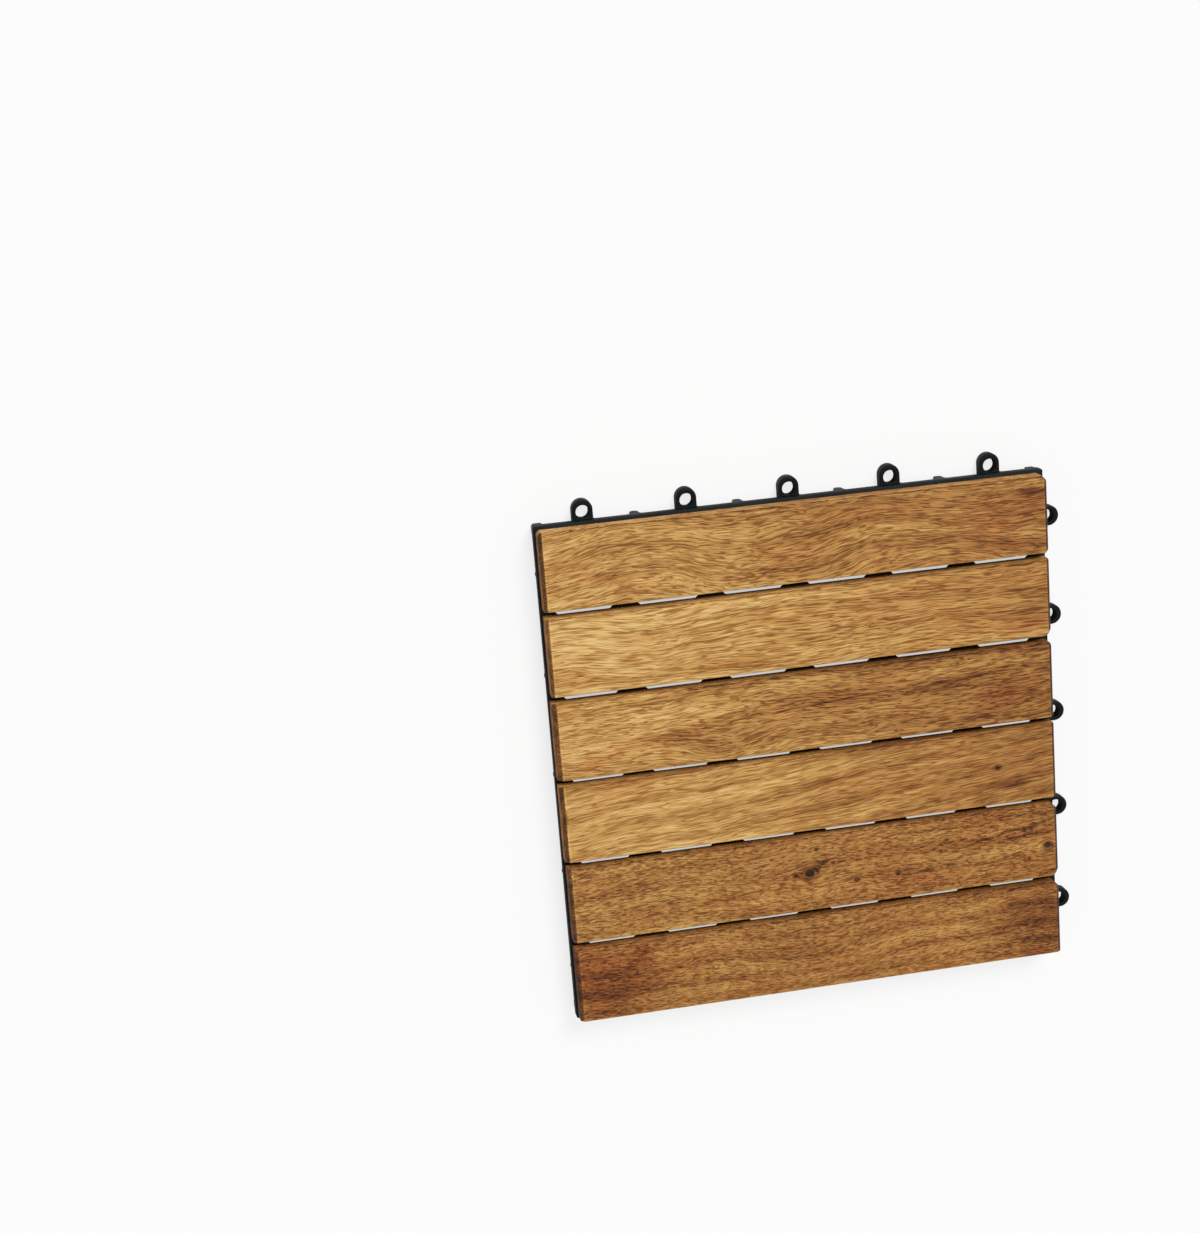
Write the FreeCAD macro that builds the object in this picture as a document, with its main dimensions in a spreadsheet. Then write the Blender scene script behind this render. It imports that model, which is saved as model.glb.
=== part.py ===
import FreeCAD, Part
import math
import os
import Sketcher

# Interlocking deck tile: hardwood slats screwed to a one-piece moulded plastic grid.
# The tile lies slats up, +Z up. The slats run along X and are counted from the +Y side.
# The origin is the centre of the floor square that one tile fills, on the floor.
# Two sides, +X and +Y, carry loops. The other two carry pins that drop into a neighbour's loops.

FLOOR_SIZES = [
    ("module_side", 300.0, "side of the floor square that one tile fills"),
    ("joint_play", 0.4, "how much smaller the grid is than its square"),
    ("corner_round", 1.5, "radius of the grid's upright corners"),
    ("foot_drop", 7.6, "height of the rim's lower edge over the floor"),
    ("rim_drop", 5.4, "height of the rim band"),
    ("deck_plate", 2.4, "thickness of the plate under the slats"),
    ("rim_wall", 2.2, "thickness of the rim's wall"),
    ("rib_wall", 1.8, "thickness of the wall round each opening"),
    ("edge_band", 8.3, "closed band between the outer openings and the rim's face"),
]
OPENING_SIZES = [
    ("opening_long", 37.0, "length of an opening below a gap, along the slats"),
    ("opening_wide", 18.0, "width of an opening below a gap"),
    ("opening_cut", 8.0, "corner cut of an opening below a gap"),
    ("vent_long", 30.0, "length of an opening below a slat"),
    ("vent_wide", 18.0, "width of an opening below a slat"),
]
LOOP_SIZES = [
    ("loop_count", 5, "loops on each of two sides"),
    ("loop_reach", 3.9, "how far a loop's bore is centred outside the floor square"),
    ("loop_offset", 1.1, "how much farther out a loop's outer arc is centred than its bore"),
    ("loop_hole", 7.8, "bore of a loop"),
    ("loop_wall", 2.1, "width of a loop's ring at its sides"),
    ("loop_plate", 6.6, "thickness of a loop"),
    ("loop_clearance", 0.4, "drop from the rim's lower edge to a loop's top"),
    ("loop_bevel", 0.6, "bevel of a loop's upper edge"),
    ("root_depth", 6.0, "depth of the block that carries a loop behind the rim's face"),
    ("pin_play", 0.5, "gap round a pin in a loop"),
    ("pin_tip_gap", 0.8, "height of a pin's tip over the floor"),
    ("pin_tip_cut", 1.0, "bevel of a pin's tip"),
    ("pin_shoulder", 0.2, "how much wider a pin is at its root"),
]
FOOT_SIZES = [
    ("foot_width", 5.6, "width of a foot along the edge"),
    ("foot_depth", 6.0, "depth of an edge foot"),
    ("foot_inset", 1.5, "how far the feet between the pins stand behind the rim's face"),
    ("foot_draft", 0.4, "taper of each side of an edge foot"),
    ("foot_tip_cut", 1.2, "corner cut of an edge foot's sole"),
    ("flare", 1.2, "how far a foot or loop flares out where it meets the rim"),
    ("corner_foot", 7.0, "side of a corner foot at the deck plate"),
    ("stud_foot", 10.8, "diameter of an inner foot at the deck plate"),
    ("foot_taper", 4.0, "draft angle of the inner and corner feet, in degrees"),
]
SLAT_SIZES = [
    ("slat_count", 6, "slats"),
    ("slat_inset", 1.75, "from the floor square's edge to the outer slat's side"),
    ("slat_end_inset", 1.4, "from the floor square's edge to a slat's end"),
    ("slat_gap", 3.6, "gap between two slats"),
    ("slat_thickness", 11.0, "thickness of a slat"),
    ("slat_round", 1.4, "radius of a slat's long upper edges"),
    ("slat_under_round", 2.6, "radius of a slat's long lower edges"),
    ("end_bevel", 2.0, "bevel of a slat's right-hand end"),
    ("cut_small", 1.6, "small corner cut of a slat's end, in plan"),
    ("cut_large", 3.4, "large corner cut of a slat's end, in plan"),
    ("left_bevel_1", 2.2, "bevel of slat 1's left-hand end"),
    ("left_bevel_2", 2.0, "bevel of slat 2's left-hand end"),
    ("left_bevel_3", 2.8, "bevel of slat 3's left-hand end"),
    ("left_bevel_4", 2.6, "bevel of slat 4's left-hand end"),
    ("left_bevel_5", 2.2, "bevel of slat 5's left-hand end"),
    ("left_bevel_6", 2.4, "bevel of slat 6's left-hand end"),
    ("left_reach_1", 0.0, "how far slat 1's left-hand end stands out"),
    ("left_reach_2", 0.0, "how far slat 2's left-hand end stands out"),
    ("left_reach_3", 0.6, "how far slat 3's left-hand end stands out"),
    ("left_reach_4", 0.6, "how far slat 4's left-hand end stands out"),
    ("left_reach_5", 0.0, "how far slat 5's left-hand end stands out"),
    ("left_reach_6", 0.0, "how far slat 6's left-hand end stands out"),
]
SCREW_SIZES = [
    ("screws_per_slat", 3, "screws in each slat"),
    ("screw_shank", 3.5, "diameter of a screw's shank"),
    ("screw_length", 12.0, "length of a screw below its head"),
    ("screw_tip", 3.0, "length of a screw's point"),
    ("screw_head", 6.8, "diameter of a screw's head"),
    ("screw_head_height", 2.0, "height of a screw's head"),
    ("screw_head_crown", 0.8, "bevel of a screw's head"),
    ("screw_hole_play", 0.25, "gap round the shank in the grid"),
    ("screw_head_play", 0.3, "gap round and under the head in its boss"),
    ("boss_wall", 1.4, "wall of a screw boss"),
]
WORKED_OUT = [
    ("half_module", "module_side / 2"),
    ("half_base", "(module_side - joint_play) / 2"),
    ("deck_top", "foot_drop + rim_drop"),
    ("deck_under", "deck_top - deck_plate"),
    ("rib_drop", "rim_drop - deck_plate"),
    ("half_cavity", "half_base - rim_wall"),
    ("lattice_pitch", "module_side / slat_count"),
    ("slat_pitch", "(module_side - 2 * slat_inset + slat_gap) / slat_count"),
    ("slat_half_width", "(slat_pitch - slat_gap) / 2"),
    ("slat_half_length", "half_module - slat_end_inset"),
    ("slat_top", "deck_top + slat_thickness"),
    ("gap_rows", "slat_count - 1"),
    ("gap_reach", "slat_pitch * (slat_count - 2) / 2"),
    ("gap_span", "2 * gap_reach"),
    ("slat_reach", "slat_pitch * (slat_count - 1) / 2"),
    ("slat_span", "2 * slat_reach"),
    ("inner_columns", "slat_count - 2"),
    ("inner_column_reach", "lattice_pitch * (slat_count - 3) / 2"),
    ("inner_column_span", "2 * inner_column_reach"),
    ("column_reach", "lattice_pitch * (slat_count - 1) / 2"),
    ("column_span", "2 * column_reach"),
    ("opening_half_long", "opening_long / 2"),
    ("opening_half_flat", "opening_half_long - opening_cut"),
    ("opening_half_wide", "opening_wide / 2"),
    ("opening_half_side", "opening_half_wide - opening_cut"),
    ("collar_cut", "opening_cut + rib_wall * (2 - sqrt(2))"),
    ("collar_half_long", "opening_half_long + rib_wall"),
    ("collar_half_flat", "collar_half_long - collar_cut"),
    ("collar_half_wide", "opening_half_wide + rib_wall"),
    ("collar_half_side", "collar_half_wide - collar_cut"),
    ("end_outer", "half_base - edge_band"),
    ("end_inner", "column_reach - opening_half_long"),
    ("end_reach", "(end_outer + end_inner) / 2"),
    ("end_span", "2 * end_reach"),
    ("end_half_long", "(end_outer - end_inner) / 2"),
    ("end_half_flat", "end_half_long - opening_cut"),
    ("end_collar_half_long", "end_half_long + rib_wall"),
    ("end_collar_half_flat", "end_collar_half_long - collar_cut"),
    ("vent_half_long", "vent_long / 2"),
    ("vent_half_wide", "vent_wide / 2"),
    ("vent_collar_half_long", "vent_half_long + rib_wall"),
    ("vent_collar_half_wide", "vent_half_wide + rib_wall"),
    ("loop_pitch", "module_side / loop_count"),
    ("loop_row_reach", "loop_pitch * (loop_count - 1) / 2"),
    ("loop_row_span", "2 * loop_row_reach"),
    ("loop_centre", "half_module + loop_reach"),
    ("loop_nose", "loop_centre + loop_offset"),
    ("loop_bore_radius", "loop_hole / 2"),
    ("loop_radius", "loop_bore_radius + loop_wall"),
    ("loop_top", "foot_drop - loop_clearance"),
    ("loop_bottom", "loop_top - loop_plate"),
    ("loop_shoulder", "loop_top - loop_bevel"),
    ("loop_side_height", "loop_plate - loop_bevel"),
    ("loop_root", "half_base - root_depth"),
    ("root_flare_half", "loop_radius + flare"),
    ("flare_start", "foot_drop - flare"),
    ("pin_centre", "half_module - loop_reach"),
    ("pin_radius", "loop_bore_radius - pin_play"),
    ("pin_root_radius", "pin_radius + pin_shoulder"),
    ("pin_tip_radius", "pin_radius - pin_tip_cut"),
    ("pin_side_start", "pin_tip_gap + pin_tip_cut"),
    ("edge_feet", "loop_count - 1"),
    ("foot_row_reach", "loop_pitch * (loop_count - 2) / 2"),
    ("foot_row_span", "2 * foot_row_reach"),
    ("foot_half", "foot_width / 2"),
    ("foot_toe_half", "foot_half - foot_draft"),
    ("foot_sole_half", "foot_toe_half - foot_tip_cut"),
    ("foot_flare_half", "foot_half + flare"),
    ("inset_face", "half_base - foot_inset"),
    ("corner_inner", "half_base - corner_foot"),
    ("corner_side", "half_base - corner_round"),
    ("stud_radius", "stud_foot / 2"),
    ("stud_reach_along", "2 * lattice_pitch"),
    ("stud_reach_across", "2 * slat_pitch"),
    ("stud_span_along", "2 * stud_reach_along"),
    ("stud_span_across", "2 * stud_reach_across"),
    ("screw_reach", "lattice_pitch * (screws_per_slat - 1)"),
    ("screw_span", "2 * screw_reach"),
    ("shank_radius", "screw_shank / 2"),
    ("shank_hole_radius", "shank_radius + screw_hole_play"),
    ("head_radius", "screw_head / 2"),
    ("head_hole_radius", "head_radius + screw_head_play"),
    ("head_hole_depth", "screw_head_height + screw_head_play"),
    ("boss_radius", "head_hole_radius + boss_wall"),
    ("screw_seat", "foot_drop + head_hole_depth"),
    ("head_bottom", "screw_seat - screw_head_height"),
    ("head_crown_top", "head_bottom + screw_head_crown"),
    ("head_crown_radius", "head_radius - screw_head_crown"),
    ("tip_top", "screw_seat + screw_length"),
    ("tip_start", "tip_top - screw_tip"),
    ("pilot_depth", "tip_top - deck_top"),
]
# Which corners of a slat's ends are cut back in plan: slat, end, side and size.
CORNER_CUTS = [
    (1, "right", "back", "cut_large"),
    (1, "right", "front", "cut_small"),
    (2, "right", "front", "cut_large"),
    (3, "right", "back", "cut_small"),
    (5, "right", "back", "cut_large"),
    (5, "right", "front", "cut_large"),
    (6, "right", "back", "cut_large"),
    (1, "left", "back", "cut_small"),
]
# The radii of a frame's corners, from low left and anticlockwise.
NO_ROUND = (None, None, None, None)
RIM_ROUND = ("corner_round", "corner_round", "corner_round", "corner_round")
SLAT_ROUND = ("slat_under_round", "slat_under_round", "slat_round", "slat_round")

doc = FreeCAD.newDocument("deck_tile")
sizes = doc.addObject("Spreadsheet::Sheet", "sizes")
sizes.Label = "sizes"


def fill_sheet():
    """Write the driving sizes, then the sizes worked out from them, one named cell each."""
    row = 1
    for name, number, note in FLOOR_SIZES + OPENING_SIZES + LOOP_SIZES + FOOT_SIZES + SLAT_SIZES + SCREW_SIZES:
        sizes.set(f"A{row}", note)
        sizes.set(f"B{row}", str(number))
        sizes.setAlias(f"B{row}", name)
        row += 1
    for name, formula in WORKED_OUT:
        sizes.set(f"A{row}", name.replace("_", " "))
        sizes.set(f"B{row}", "=" + formula)
        sizes.setAlias(f"B{row}", name)
        row += 1
    doc.recompute()


def term(name):
    """The expression for a named size, with a minus sign in front where the name has one."""
    if name.startswith("-"):
        return "-sizes." + name[1:]
    return "sizes." + name


def value(name):
    """The number that a named size holds now; 0 stands for a place on an axis."""
    if name == 0:
        return 0.0
    if name.startswith("-"):
        return -float(sizes.get(name[1:]))
    return float(sizes.get(name))


def new_body(name, several=False):
    """A body whose label is the sub-part's name; several lets it hold more than one solid."""
    body = doc.addObject("PartDesign::Body", name)
    body.Label = name
    body.AllowCompound = several
    return body


def datum(body, role):
    """The body's own origin plane or axis with this role."""
    return next(item for item in body.Origin.OriginFeatures if item.Role == role)


def new_sketch(body, name, plane, **shift):
    """A sketch on one of the body's origin planes, shifted by named sizes along its own axes."""
    sketch = body.newObject("Sketcher::SketchObject", name)
    sketch.AttachmentSupport = [(datum(body, plane), "")]
    sketch.MapMode = "FlatFace"
    for axis, size in shift.items():
        sketch.setExpression(f"AttachmentOffset.Base.{axis}", term(size))
    return sketch


def constrain(sketch, kind, size, *places):
    """Add one dimension that follows a named size."""
    index = sketch.addConstraint(Sketcher.Constraint(kind, *places, value(size)))
    sketch.setExpression(f"Constraints[{index}]", term(size))


def fix_point(sketch, line, end, across, up):
    """Tie one end of a line to its two coordinates; 0 puts it on the axis."""
    if across == 0:
        sketch.addConstraint(Sketcher.Constraint("PointOnObject", line, end, -2))
    else:
        constrain(sketch, "DistanceX", across, line, end)
    if up == 0:
        sketch.addConstraint(Sketcher.Constraint("PointOnObject", line, end, -1))
    else:
        constrain(sketch, "DistanceY", up, line, end)


def draw_outline(sketch, corners):
    """Close a ring of straight lines through corners given as pairs of named sizes."""
    first = sketch.GeometryCount
    spots = [FreeCAD.Vector(value(across), value(up), 0) for across, up in corners]
    for start, end in zip(spots, spots[1:] + spots[:1]):
        sketch.addGeometry(Part.LineSegment(start, end))
    for index in range(len(spots)):
        before = first + (index - 1) % len(spots)
        sketch.addConstraint(Sketcher.Constraint("Coincident", before, 2, first + index, 1))
    for index, (across, up) in enumerate(corners):
        fix_point(sketch, first + index, 1, across, up)


def draw_frame(sketch, left, right, low, high, radii):
    """Draw a rectangle whose corners have the named radii, or are sharp where the name is None."""
    corners = [(value(left), value(low)), (value(right), value(low)),
               (value(right), value(high)), (value(left), value(high))]
    headings = [(1, 0), (0, 1), (-1, 0), (0, -1)]
    reach = [value(name) if name else 0.0 for name in radii]
    lines = []
    for index, (along, up) in enumerate(headings):
        after = (index + 1) % 4
        lead = reach[index]
        tail = reach[after]
        start = FreeCAD.Vector(corners[index][0] + along * lead, corners[index][1] + up * lead, 0)
        end = FreeCAD.Vector(corners[after][0] - along * tail, corners[after][1] - up * tail, 0)
        lines.append(sketch.addGeometry(Part.LineSegment(start, end)))
    for index, (along, up) in enumerate(headings):
        before = (index - 1) % 4
        size = reach[index]
        if radii[index] is None:
            sketch.addConstraint(Sketcher.Constraint("Coincident", lines[before], 2, lines[index], 1))
            continue
        centre = FreeCAD.Vector(corners[index][0] + (along - headings[before][0]) * size,
                                corners[index][1] + (up - headings[before][1]) * size, 0)
        turn = math.atan2(-up, -along)
        circle = Part.Circle(centre, FreeCAD.Vector(0, 0, 1), size)
        arc = sketch.addGeometry(Part.ArcOfCircle(circle, turn, turn + math.pi / 2))
        sketch.addConstraint(Sketcher.Constraint("Tangent", lines[before], 2, arc, 1))
        sketch.addConstraint(Sketcher.Constraint("Tangent", arc, 2, lines[index], 1))
        constrain(sketch, "Radius", radii[index], arc)
    for index, size_name in enumerate((low, right, high, left)):
        kind = "Horizontal" if index % 2 == 0 else "Vertical"
        sketch.addConstraint(Sketcher.Constraint(kind, lines[index]))
        constrain(sketch, "DistanceY" if index % 2 == 0 else "DistanceX", size_name, lines[index], 1)


def draw_circle(sketch, radius):
    """A circle about the sketch's own origin."""
    circle = sketch.addGeometry(Part.Circle(FreeCAD.Vector(0, 0, 0), FreeCAD.Vector(0, 0, 1), value(radius)))
    sketch.addConstraint(Sketcher.Constraint("Coincident", circle, 3, -1, 1))
    constrain(sketch, "Radius", radius, circle)


def draw_tongue(sketch, root, centre, radius):
    """A tongue along the sketch's first axis: square at its root and half round about its centre."""
    near, far, half = value(root), value(centre), value(radius)
    circle = Part.Circle(FreeCAD.Vector(far, 0, 0), FreeCAD.Vector(0, 0, 1), half)
    low = sketch.addGeometry(Part.LineSegment(FreeCAD.Vector(near, -half, 0), FreeCAD.Vector(far, -half, 0)))
    nose = sketch.addGeometry(Part.ArcOfCircle(circle, -math.pi / 2, math.pi / 2))
    high = sketch.addGeometry(Part.LineSegment(FreeCAD.Vector(far, half, 0), FreeCAD.Vector(near, half, 0)))
    back = sketch.addGeometry(Part.LineSegment(FreeCAD.Vector(near, half, 0), FreeCAD.Vector(near, -half, 0)))
    sketch.addConstraint(Sketcher.Constraint("Tangent", low, 2, nose, 1))
    sketch.addConstraint(Sketcher.Constraint("Tangent", nose, 2, high, 1))
    sketch.addConstraint(Sketcher.Constraint("Coincident", high, 2, back, 1))
    sketch.addConstraint(Sketcher.Constraint("Coincident", back, 2, low, 1))
    sketch.addConstraint(Sketcher.Constraint("Horizontal", low))
    sketch.addConstraint(Sketcher.Constraint("Horizontal", high))
    sketch.addConstraint(Sketcher.Constraint("Vertical", back))
    sketch.addConstraint(Sketcher.Constraint("PointOnObject", nose, 3, -1))
    constrain(sketch, "DistanceX", centre, nose, 3)
    constrain(sketch, "Radius", radius, nose)
    constrain(sketch, "DistanceX", root, back, 1)


def eight_corners(half_long, half_flat, half_wide, half_side):
    """The corners of a rectangle about the origin whose corners are cut at 45 degrees."""
    return [("-" + half_flat, "-" + half_wide), (half_flat, "-" + half_wide),
            (half_long, "-" + half_side), (half_long, half_side),
            (half_flat, half_wide), ("-" + half_flat, half_wide),
            ("-" + half_long, half_side), ("-" + half_long, "-" + half_side)]


def both_sides(right_side):
    """Close an upright profile from its right-hand corners, listed upwards."""
    left_side = [("-" + across, up) for across, up in reversed(right_side)]
    return right_side + left_side


def add_pad(body, name, sketch, length, down=False, taper=None, middle=False):
    """Pad a sketch by a named length; down reverses it, and middle pads it both ways."""
    pad = body.newObject("PartDesign::Pad", name)
    pad.Profile = sketch
    pad.Reversed = down
    pad.Midplane = middle
    pad.setExpression("Length", term(length))
    if taper:
        pad.setExpression("TaperAngle", term(taper))
    return pad


def add_pocket(body, name, sketch, length, up=False, middle=False):
    """Cut a sketch by a named depth, down from its plane unless up is set."""
    pocket = body.newObject("PartDesign::Pocket", name)
    pocket.Profile = sketch
    pocket.Reversed = up
    pocket.Midplane = middle
    pocket.setExpression("Length", term(length))
    return pocket


def add_revolution(body, name, sketch):
    """Turn a sketch once about its own upright axis."""
    turned = body.newObject("PartDesign::Revolution", name)
    turned.Profile = sketch
    turned.ReferenceAxis = (sketch, ["V_Axis"])
    turned.Angle = 360
    return turned


def set_row(pattern, body, direction, span, count, second=""):
    """Give a linear pattern, or its second direction, its axis, span and number."""
    setattr(pattern, "Direction" + second, (datum(body, direction), [""]))
    pattern.setExpression("Length" + second, term(span))
    pattern.setExpression("Occurrences" + second, term(count))


def add_row(body, name, features, direction, span, count):
    """Repeat features in one straight row."""
    row = body.newObject("PartDesign::LinearPattern", name)
    row.Originals = features
    set_row(row, body, direction, span, count)
    body.Tip = row
    return row


def add_grid(body, name, features, across, upward):
    """Repeat features over a grid; across and upward are each a span and a count."""
    grid = body.newObject("PartDesign::LinearPattern", name)
    grid.Originals = features
    set_row(grid, body, "X_Axis", *across)
    set_row(grid, body, "Y_Axis", *upward, second="2")
    body.Tip = grid
    return grid


def add_turned_row(body, name, features, span, count, angle, turns):
    """Repeat features in a row along Y, then turn the whole row about Z to the other sides."""
    whole = body.newObject("PartDesign::MultiTransform", name)
    whole.Originals = features
    row = doc.addObject("PartDesign::LinearPattern", name + "_row")
    body.addObject(row)
    set_row(row, body, "Y_Axis", span, count)
    ring = doc.addObject("PartDesign::PolarPattern", name + "_turn")
    body.addObject(ring)
    ring.Axis = (datum(body, "Z_Axis"), [""])
    ring.Angle = angle
    ring.Occurrences = turns
    whole.Transformations = [row, ring]
    body.Tip = whole
    return whole


def build_tray(body):
    """The deck plate with a rim band hanging round it."""
    outline = new_sketch(body, "deck_outline", "XY_Plane", z="foot_drop")
    draw_frame(outline, "-half_base", "half_base", "-half_base", "half_base", RIM_ROUND)
    add_pad(body, "deck_slab", outline, "rim_drop")
    hollow = new_sketch(body, "hollow_outline", "XY_Plane", z="foot_drop")
    draw_frame(hollow, "-half_cavity", "half_cavity", "-half_cavity", "half_cavity", NO_ROUND)
    add_pocket(body, "hollow", hollow, "rib_drop", up=True)


def build_collars(body):
    """The walls that hang round every opening and stiffen the plate."""
    collar = new_sketch(body, "gap_collar_outline", "XY_Plane",
                        x="-inner_column_reach", y="-gap_reach", z="foot_drop")
    draw_outline(collar, eight_corners("collar_half_long", "collar_half_flat",
                                       "collar_half_wide", "collar_half_side"))
    pad = add_pad(body, "gap_collar", collar, "rib_drop")
    add_grid(body, "gap_collars", [pad], ("inner_column_span", "inner_columns"), ("gap_span", "gap_rows"))
    end = new_sketch(body, "end_collar_outline", "XY_Plane", x="-end_reach", y="-gap_reach", z="foot_drop")
    draw_outline(end, eight_corners("end_collar_half_long", "end_collar_half_flat",
                                    "collar_half_wide", "collar_half_side"))
    pad = add_pad(body, "end_collar", end, "rib_drop")
    add_grid(body, "end_collars", [pad], ("end_span", "both_ends"), ("gap_span", "gap_rows"))
    vent = new_sketch(body, "vent_collar_outline", "XY_Plane", x="-column_reach", y="-slat_reach", z="foot_drop")
    draw_frame(vent, "-vent_collar_half_long", "vent_collar_half_long",
               "-vent_collar_half_wide", "vent_collar_half_wide", NO_ROUND)
    pad = add_pad(body, "vent_collar", vent, "rib_drop")
    add_grid(body, "vent_collars", [pad], ("column_span", "slat_count"), ("slat_span", "slat_count"))


def build_bosses(body):
    """The bosses that take the screw heads, in rows under the slats."""
    ring = new_sketch(body, "boss_outline", "XY_Plane", x="-screw_reach", y="-slat_reach", z="foot_drop")
    draw_circle(ring, "boss_radius")
    pad = add_pad(body, "boss", ring, "rib_drop")
    add_grid(body, "bosses", [pad], ("screw_span", "screws_per_slat"), ("slat_span", "slat_count"))


def build_inner_feet():
    """Round feet under the bridges: nine on a wide grid and four between them."""
    body = new_body("grid_inner_feet", several=True)
    wide = new_sketch(body, "wide_foot_outline", "XY_Plane",
                      x="-stud_reach_along", y="-stud_reach_across", z="deck_under")
    draw_circle(wide, "stud_radius")
    pad = add_pad(body, "wide_foot", wide, "deck_under", down=True, taper="-foot_taper")
    add_grid(body, "wide_feet", [pad], ("stud_span_along", "wide_feet_count"),
             ("stud_span_across", "wide_feet_count"))
    between = new_sketch(body, "between_foot_outline", "XY_Plane",
                         x="-lattice_pitch", y="-slat_pitch", z="deck_under")
    draw_circle(between, "stud_radius")
    pad = add_pad(body, "between_foot", between, "deck_under", down=True, taper="-foot_taper")
    add_grid(body, "between_feet", [pad], ("stud_reach_along", "both_ends"), ("stud_reach_across", "both_ends"))
    return body


def build_edge_feet():
    """Flared feet, flush with the rim between loops and inset between pins, and a foot at each corner."""
    body = new_body("grid_edge_feet", several=True)
    for place, face, inward in (("loop_side", "half_base", True), ("pin_side", "-inset_face", False)):
        profile = new_sketch(body, f"{place}_foot_profile", "YZ_Plane", x="-foot_row_reach", z=face)
        draw_outline(profile, both_sides([("foot_sole_half", 0), ("foot_toe_half", "foot_tip_cut"),
                                          ("foot_half", "flare_start"), ("foot_flare_half", "foot_drop"),
                                          ("foot_flare_half", "deck_under")]))
        pad = add_pad(body, f"{place}_foot", profile, "foot_depth", down=inward)
        add_turned_row(body, f"{place}_feet", [pad], "foot_row_span", "edge_feet", 90, 2)
    corner = new_sketch(body, "corner_foot_outline", "XY_Plane", z="deck_under")
    draw_outline(corner, [("corner_inner", "corner_inner"), ("half_base", "corner_inner"),
                          ("half_base", "corner_side"), ("corner_side", "half_base"),
                          ("corner_inner", "half_base")])
    pad = add_pad(body, "corner_foot", corner, "deck_under", down=True, taper="-foot_taper")
    ring = body.newObject("PartDesign::PolarPattern", "corner_feet")
    ring.Originals = [pad]
    ring.Axis = (datum(body, "Z_Axis"), [""])
    ring.Occurrences = 4
    body.Tip = ring
    return body


def build_loops():
    """Loops on the +X and +Y sides, each on a block that carries the rim down to it."""
    body = new_body("grid_loops", several=True)
    root = new_sketch(body, "loop_root_profile", "YZ_Plane", x="-loop_row_reach", z="half_base")
    draw_outline(root, both_sides([("loop_radius", "loop_bottom"), ("loop_radius", "flare_start"),
                                   ("root_flare_half", "foot_drop"), ("root_flare_half", "deck_under")]))
    block = add_pad(body, "loop_root_block", root, "root_depth", down=True)
    side = new_sketch(body, "loop_outline", "XY_Plane", y="-loop_row_reach", z="loop_bottom")
    draw_tongue(side, "loop_root", "loop_nose", "loop_radius")
    plate = add_pad(body, "loop_ring", side, "loop_side_height")
    crown = new_sketch(body, "loop_crown_outline", "XY_Plane", y="-loop_row_reach", z="loop_shoulder")
    draw_tongue(crown, "loop_root", "loop_nose", "loop_radius")
    top = add_pad(body, "loop_crown", crown, "loop_bevel", taper="-bevel_angle")
    bore = new_sketch(body, "loop_bore", "XY_Plane", x="loop_centre", y="-loop_row_reach", z="loop_top")
    draw_circle(bore, "loop_bore_radius")
    hole = add_pocket(body, "loop_hole", bore, "loop_plate")
    add_turned_row(body, "loops", [block, plate, top, hole], "loop_row_span", "loop_count", 90, 2)
    return body


def build_pins():
    """Pins on the -X and -Y sides, wide at the root, that drop into a neighbour's loops."""
    body = new_body("grid_pins", several=True)
    profile = new_sketch(body, "pin_profile", "XZ_Plane", x="-pin_centre", z="loop_row_reach")
    draw_outline(profile, [(0, "pin_tip_gap"), ("pin_tip_radius", "pin_tip_gap"),
                           ("pin_radius", "pin_side_start"), ("pin_radius", "foot_drop"),
                           ("pin_root_radius", "deck_under"), (0, "deck_under")])
    pin = add_revolution(body, "pin", profile)
    add_turned_row(body, "pins", [pin], "loop_row_span", "loop_count", 90, 2)
    return body


def cut_openings(body):
    """Cut the openings through the plate and their collars, and the screw holes through the bosses."""
    gap = new_sketch(body, "gap_opening_outline", "XY_Plane",
                     x="-inner_column_reach", y="-gap_reach", z="deck_top")
    draw_outline(gap, eight_corners("opening_half_long", "opening_half_flat",
                                    "opening_half_wide", "opening_half_side"))
    pocket = add_pocket(body, "gap_opening", gap, "rim_drop")
    add_grid(body, "gap_openings", [pocket], ("inner_column_span", "inner_columns"), ("gap_span", "gap_rows"))
    end = new_sketch(body, "end_opening_outline", "XY_Plane", x="-end_reach", y="-gap_reach", z="deck_top")
    draw_outline(end, eight_corners("end_half_long", "end_half_flat", "opening_half_wide", "opening_half_side"))
    pocket = add_pocket(body, "end_opening", end, "rim_drop")
    add_grid(body, "end_openings", [pocket], ("end_span", "both_ends"), ("gap_span", "gap_rows"))
    vent = new_sketch(body, "vent_outline", "XY_Plane", x="-column_reach", y="-slat_reach", z="deck_top")
    draw_frame(vent, "-vent_half_long", "vent_half_long", "-vent_half_wide", "vent_half_wide", NO_ROUND)
    pocket = add_pocket(body, "vent", vent, "rim_drop")
    add_grid(body, "vents", [pocket], ("column_span", "slat_count"), ("slat_span", "slat_count"))
    shank = new_sketch(body, "shank_hole_outline", "XY_Plane", x="-screw_reach", y="-slat_reach", z="deck_top")
    draw_circle(shank, "shank_hole_radius")
    narrow = add_pocket(body, "shank_hole", shank, "rim_drop")
    head = new_sketch(body, "head_hole_outline", "XY_Plane", x="-screw_reach", y="-slat_reach", z="foot_drop")
    draw_circle(head, "head_hole_radius")
    wide = add_pocket(body, "head_hole", head, "head_hole_depth", up=True)
    add_grid(body, "screw_holes", [narrow, wide], ("screw_span", "screws_per_slat"), ("slat_span", "slat_count"))


def build_deck():
    """The deck with everything that is cut through it."""
    body = new_body("grid_deck")
    build_tray(body)
    build_collars(body)
    build_bosses(body)
    cut_openings(body)
    return body


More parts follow.
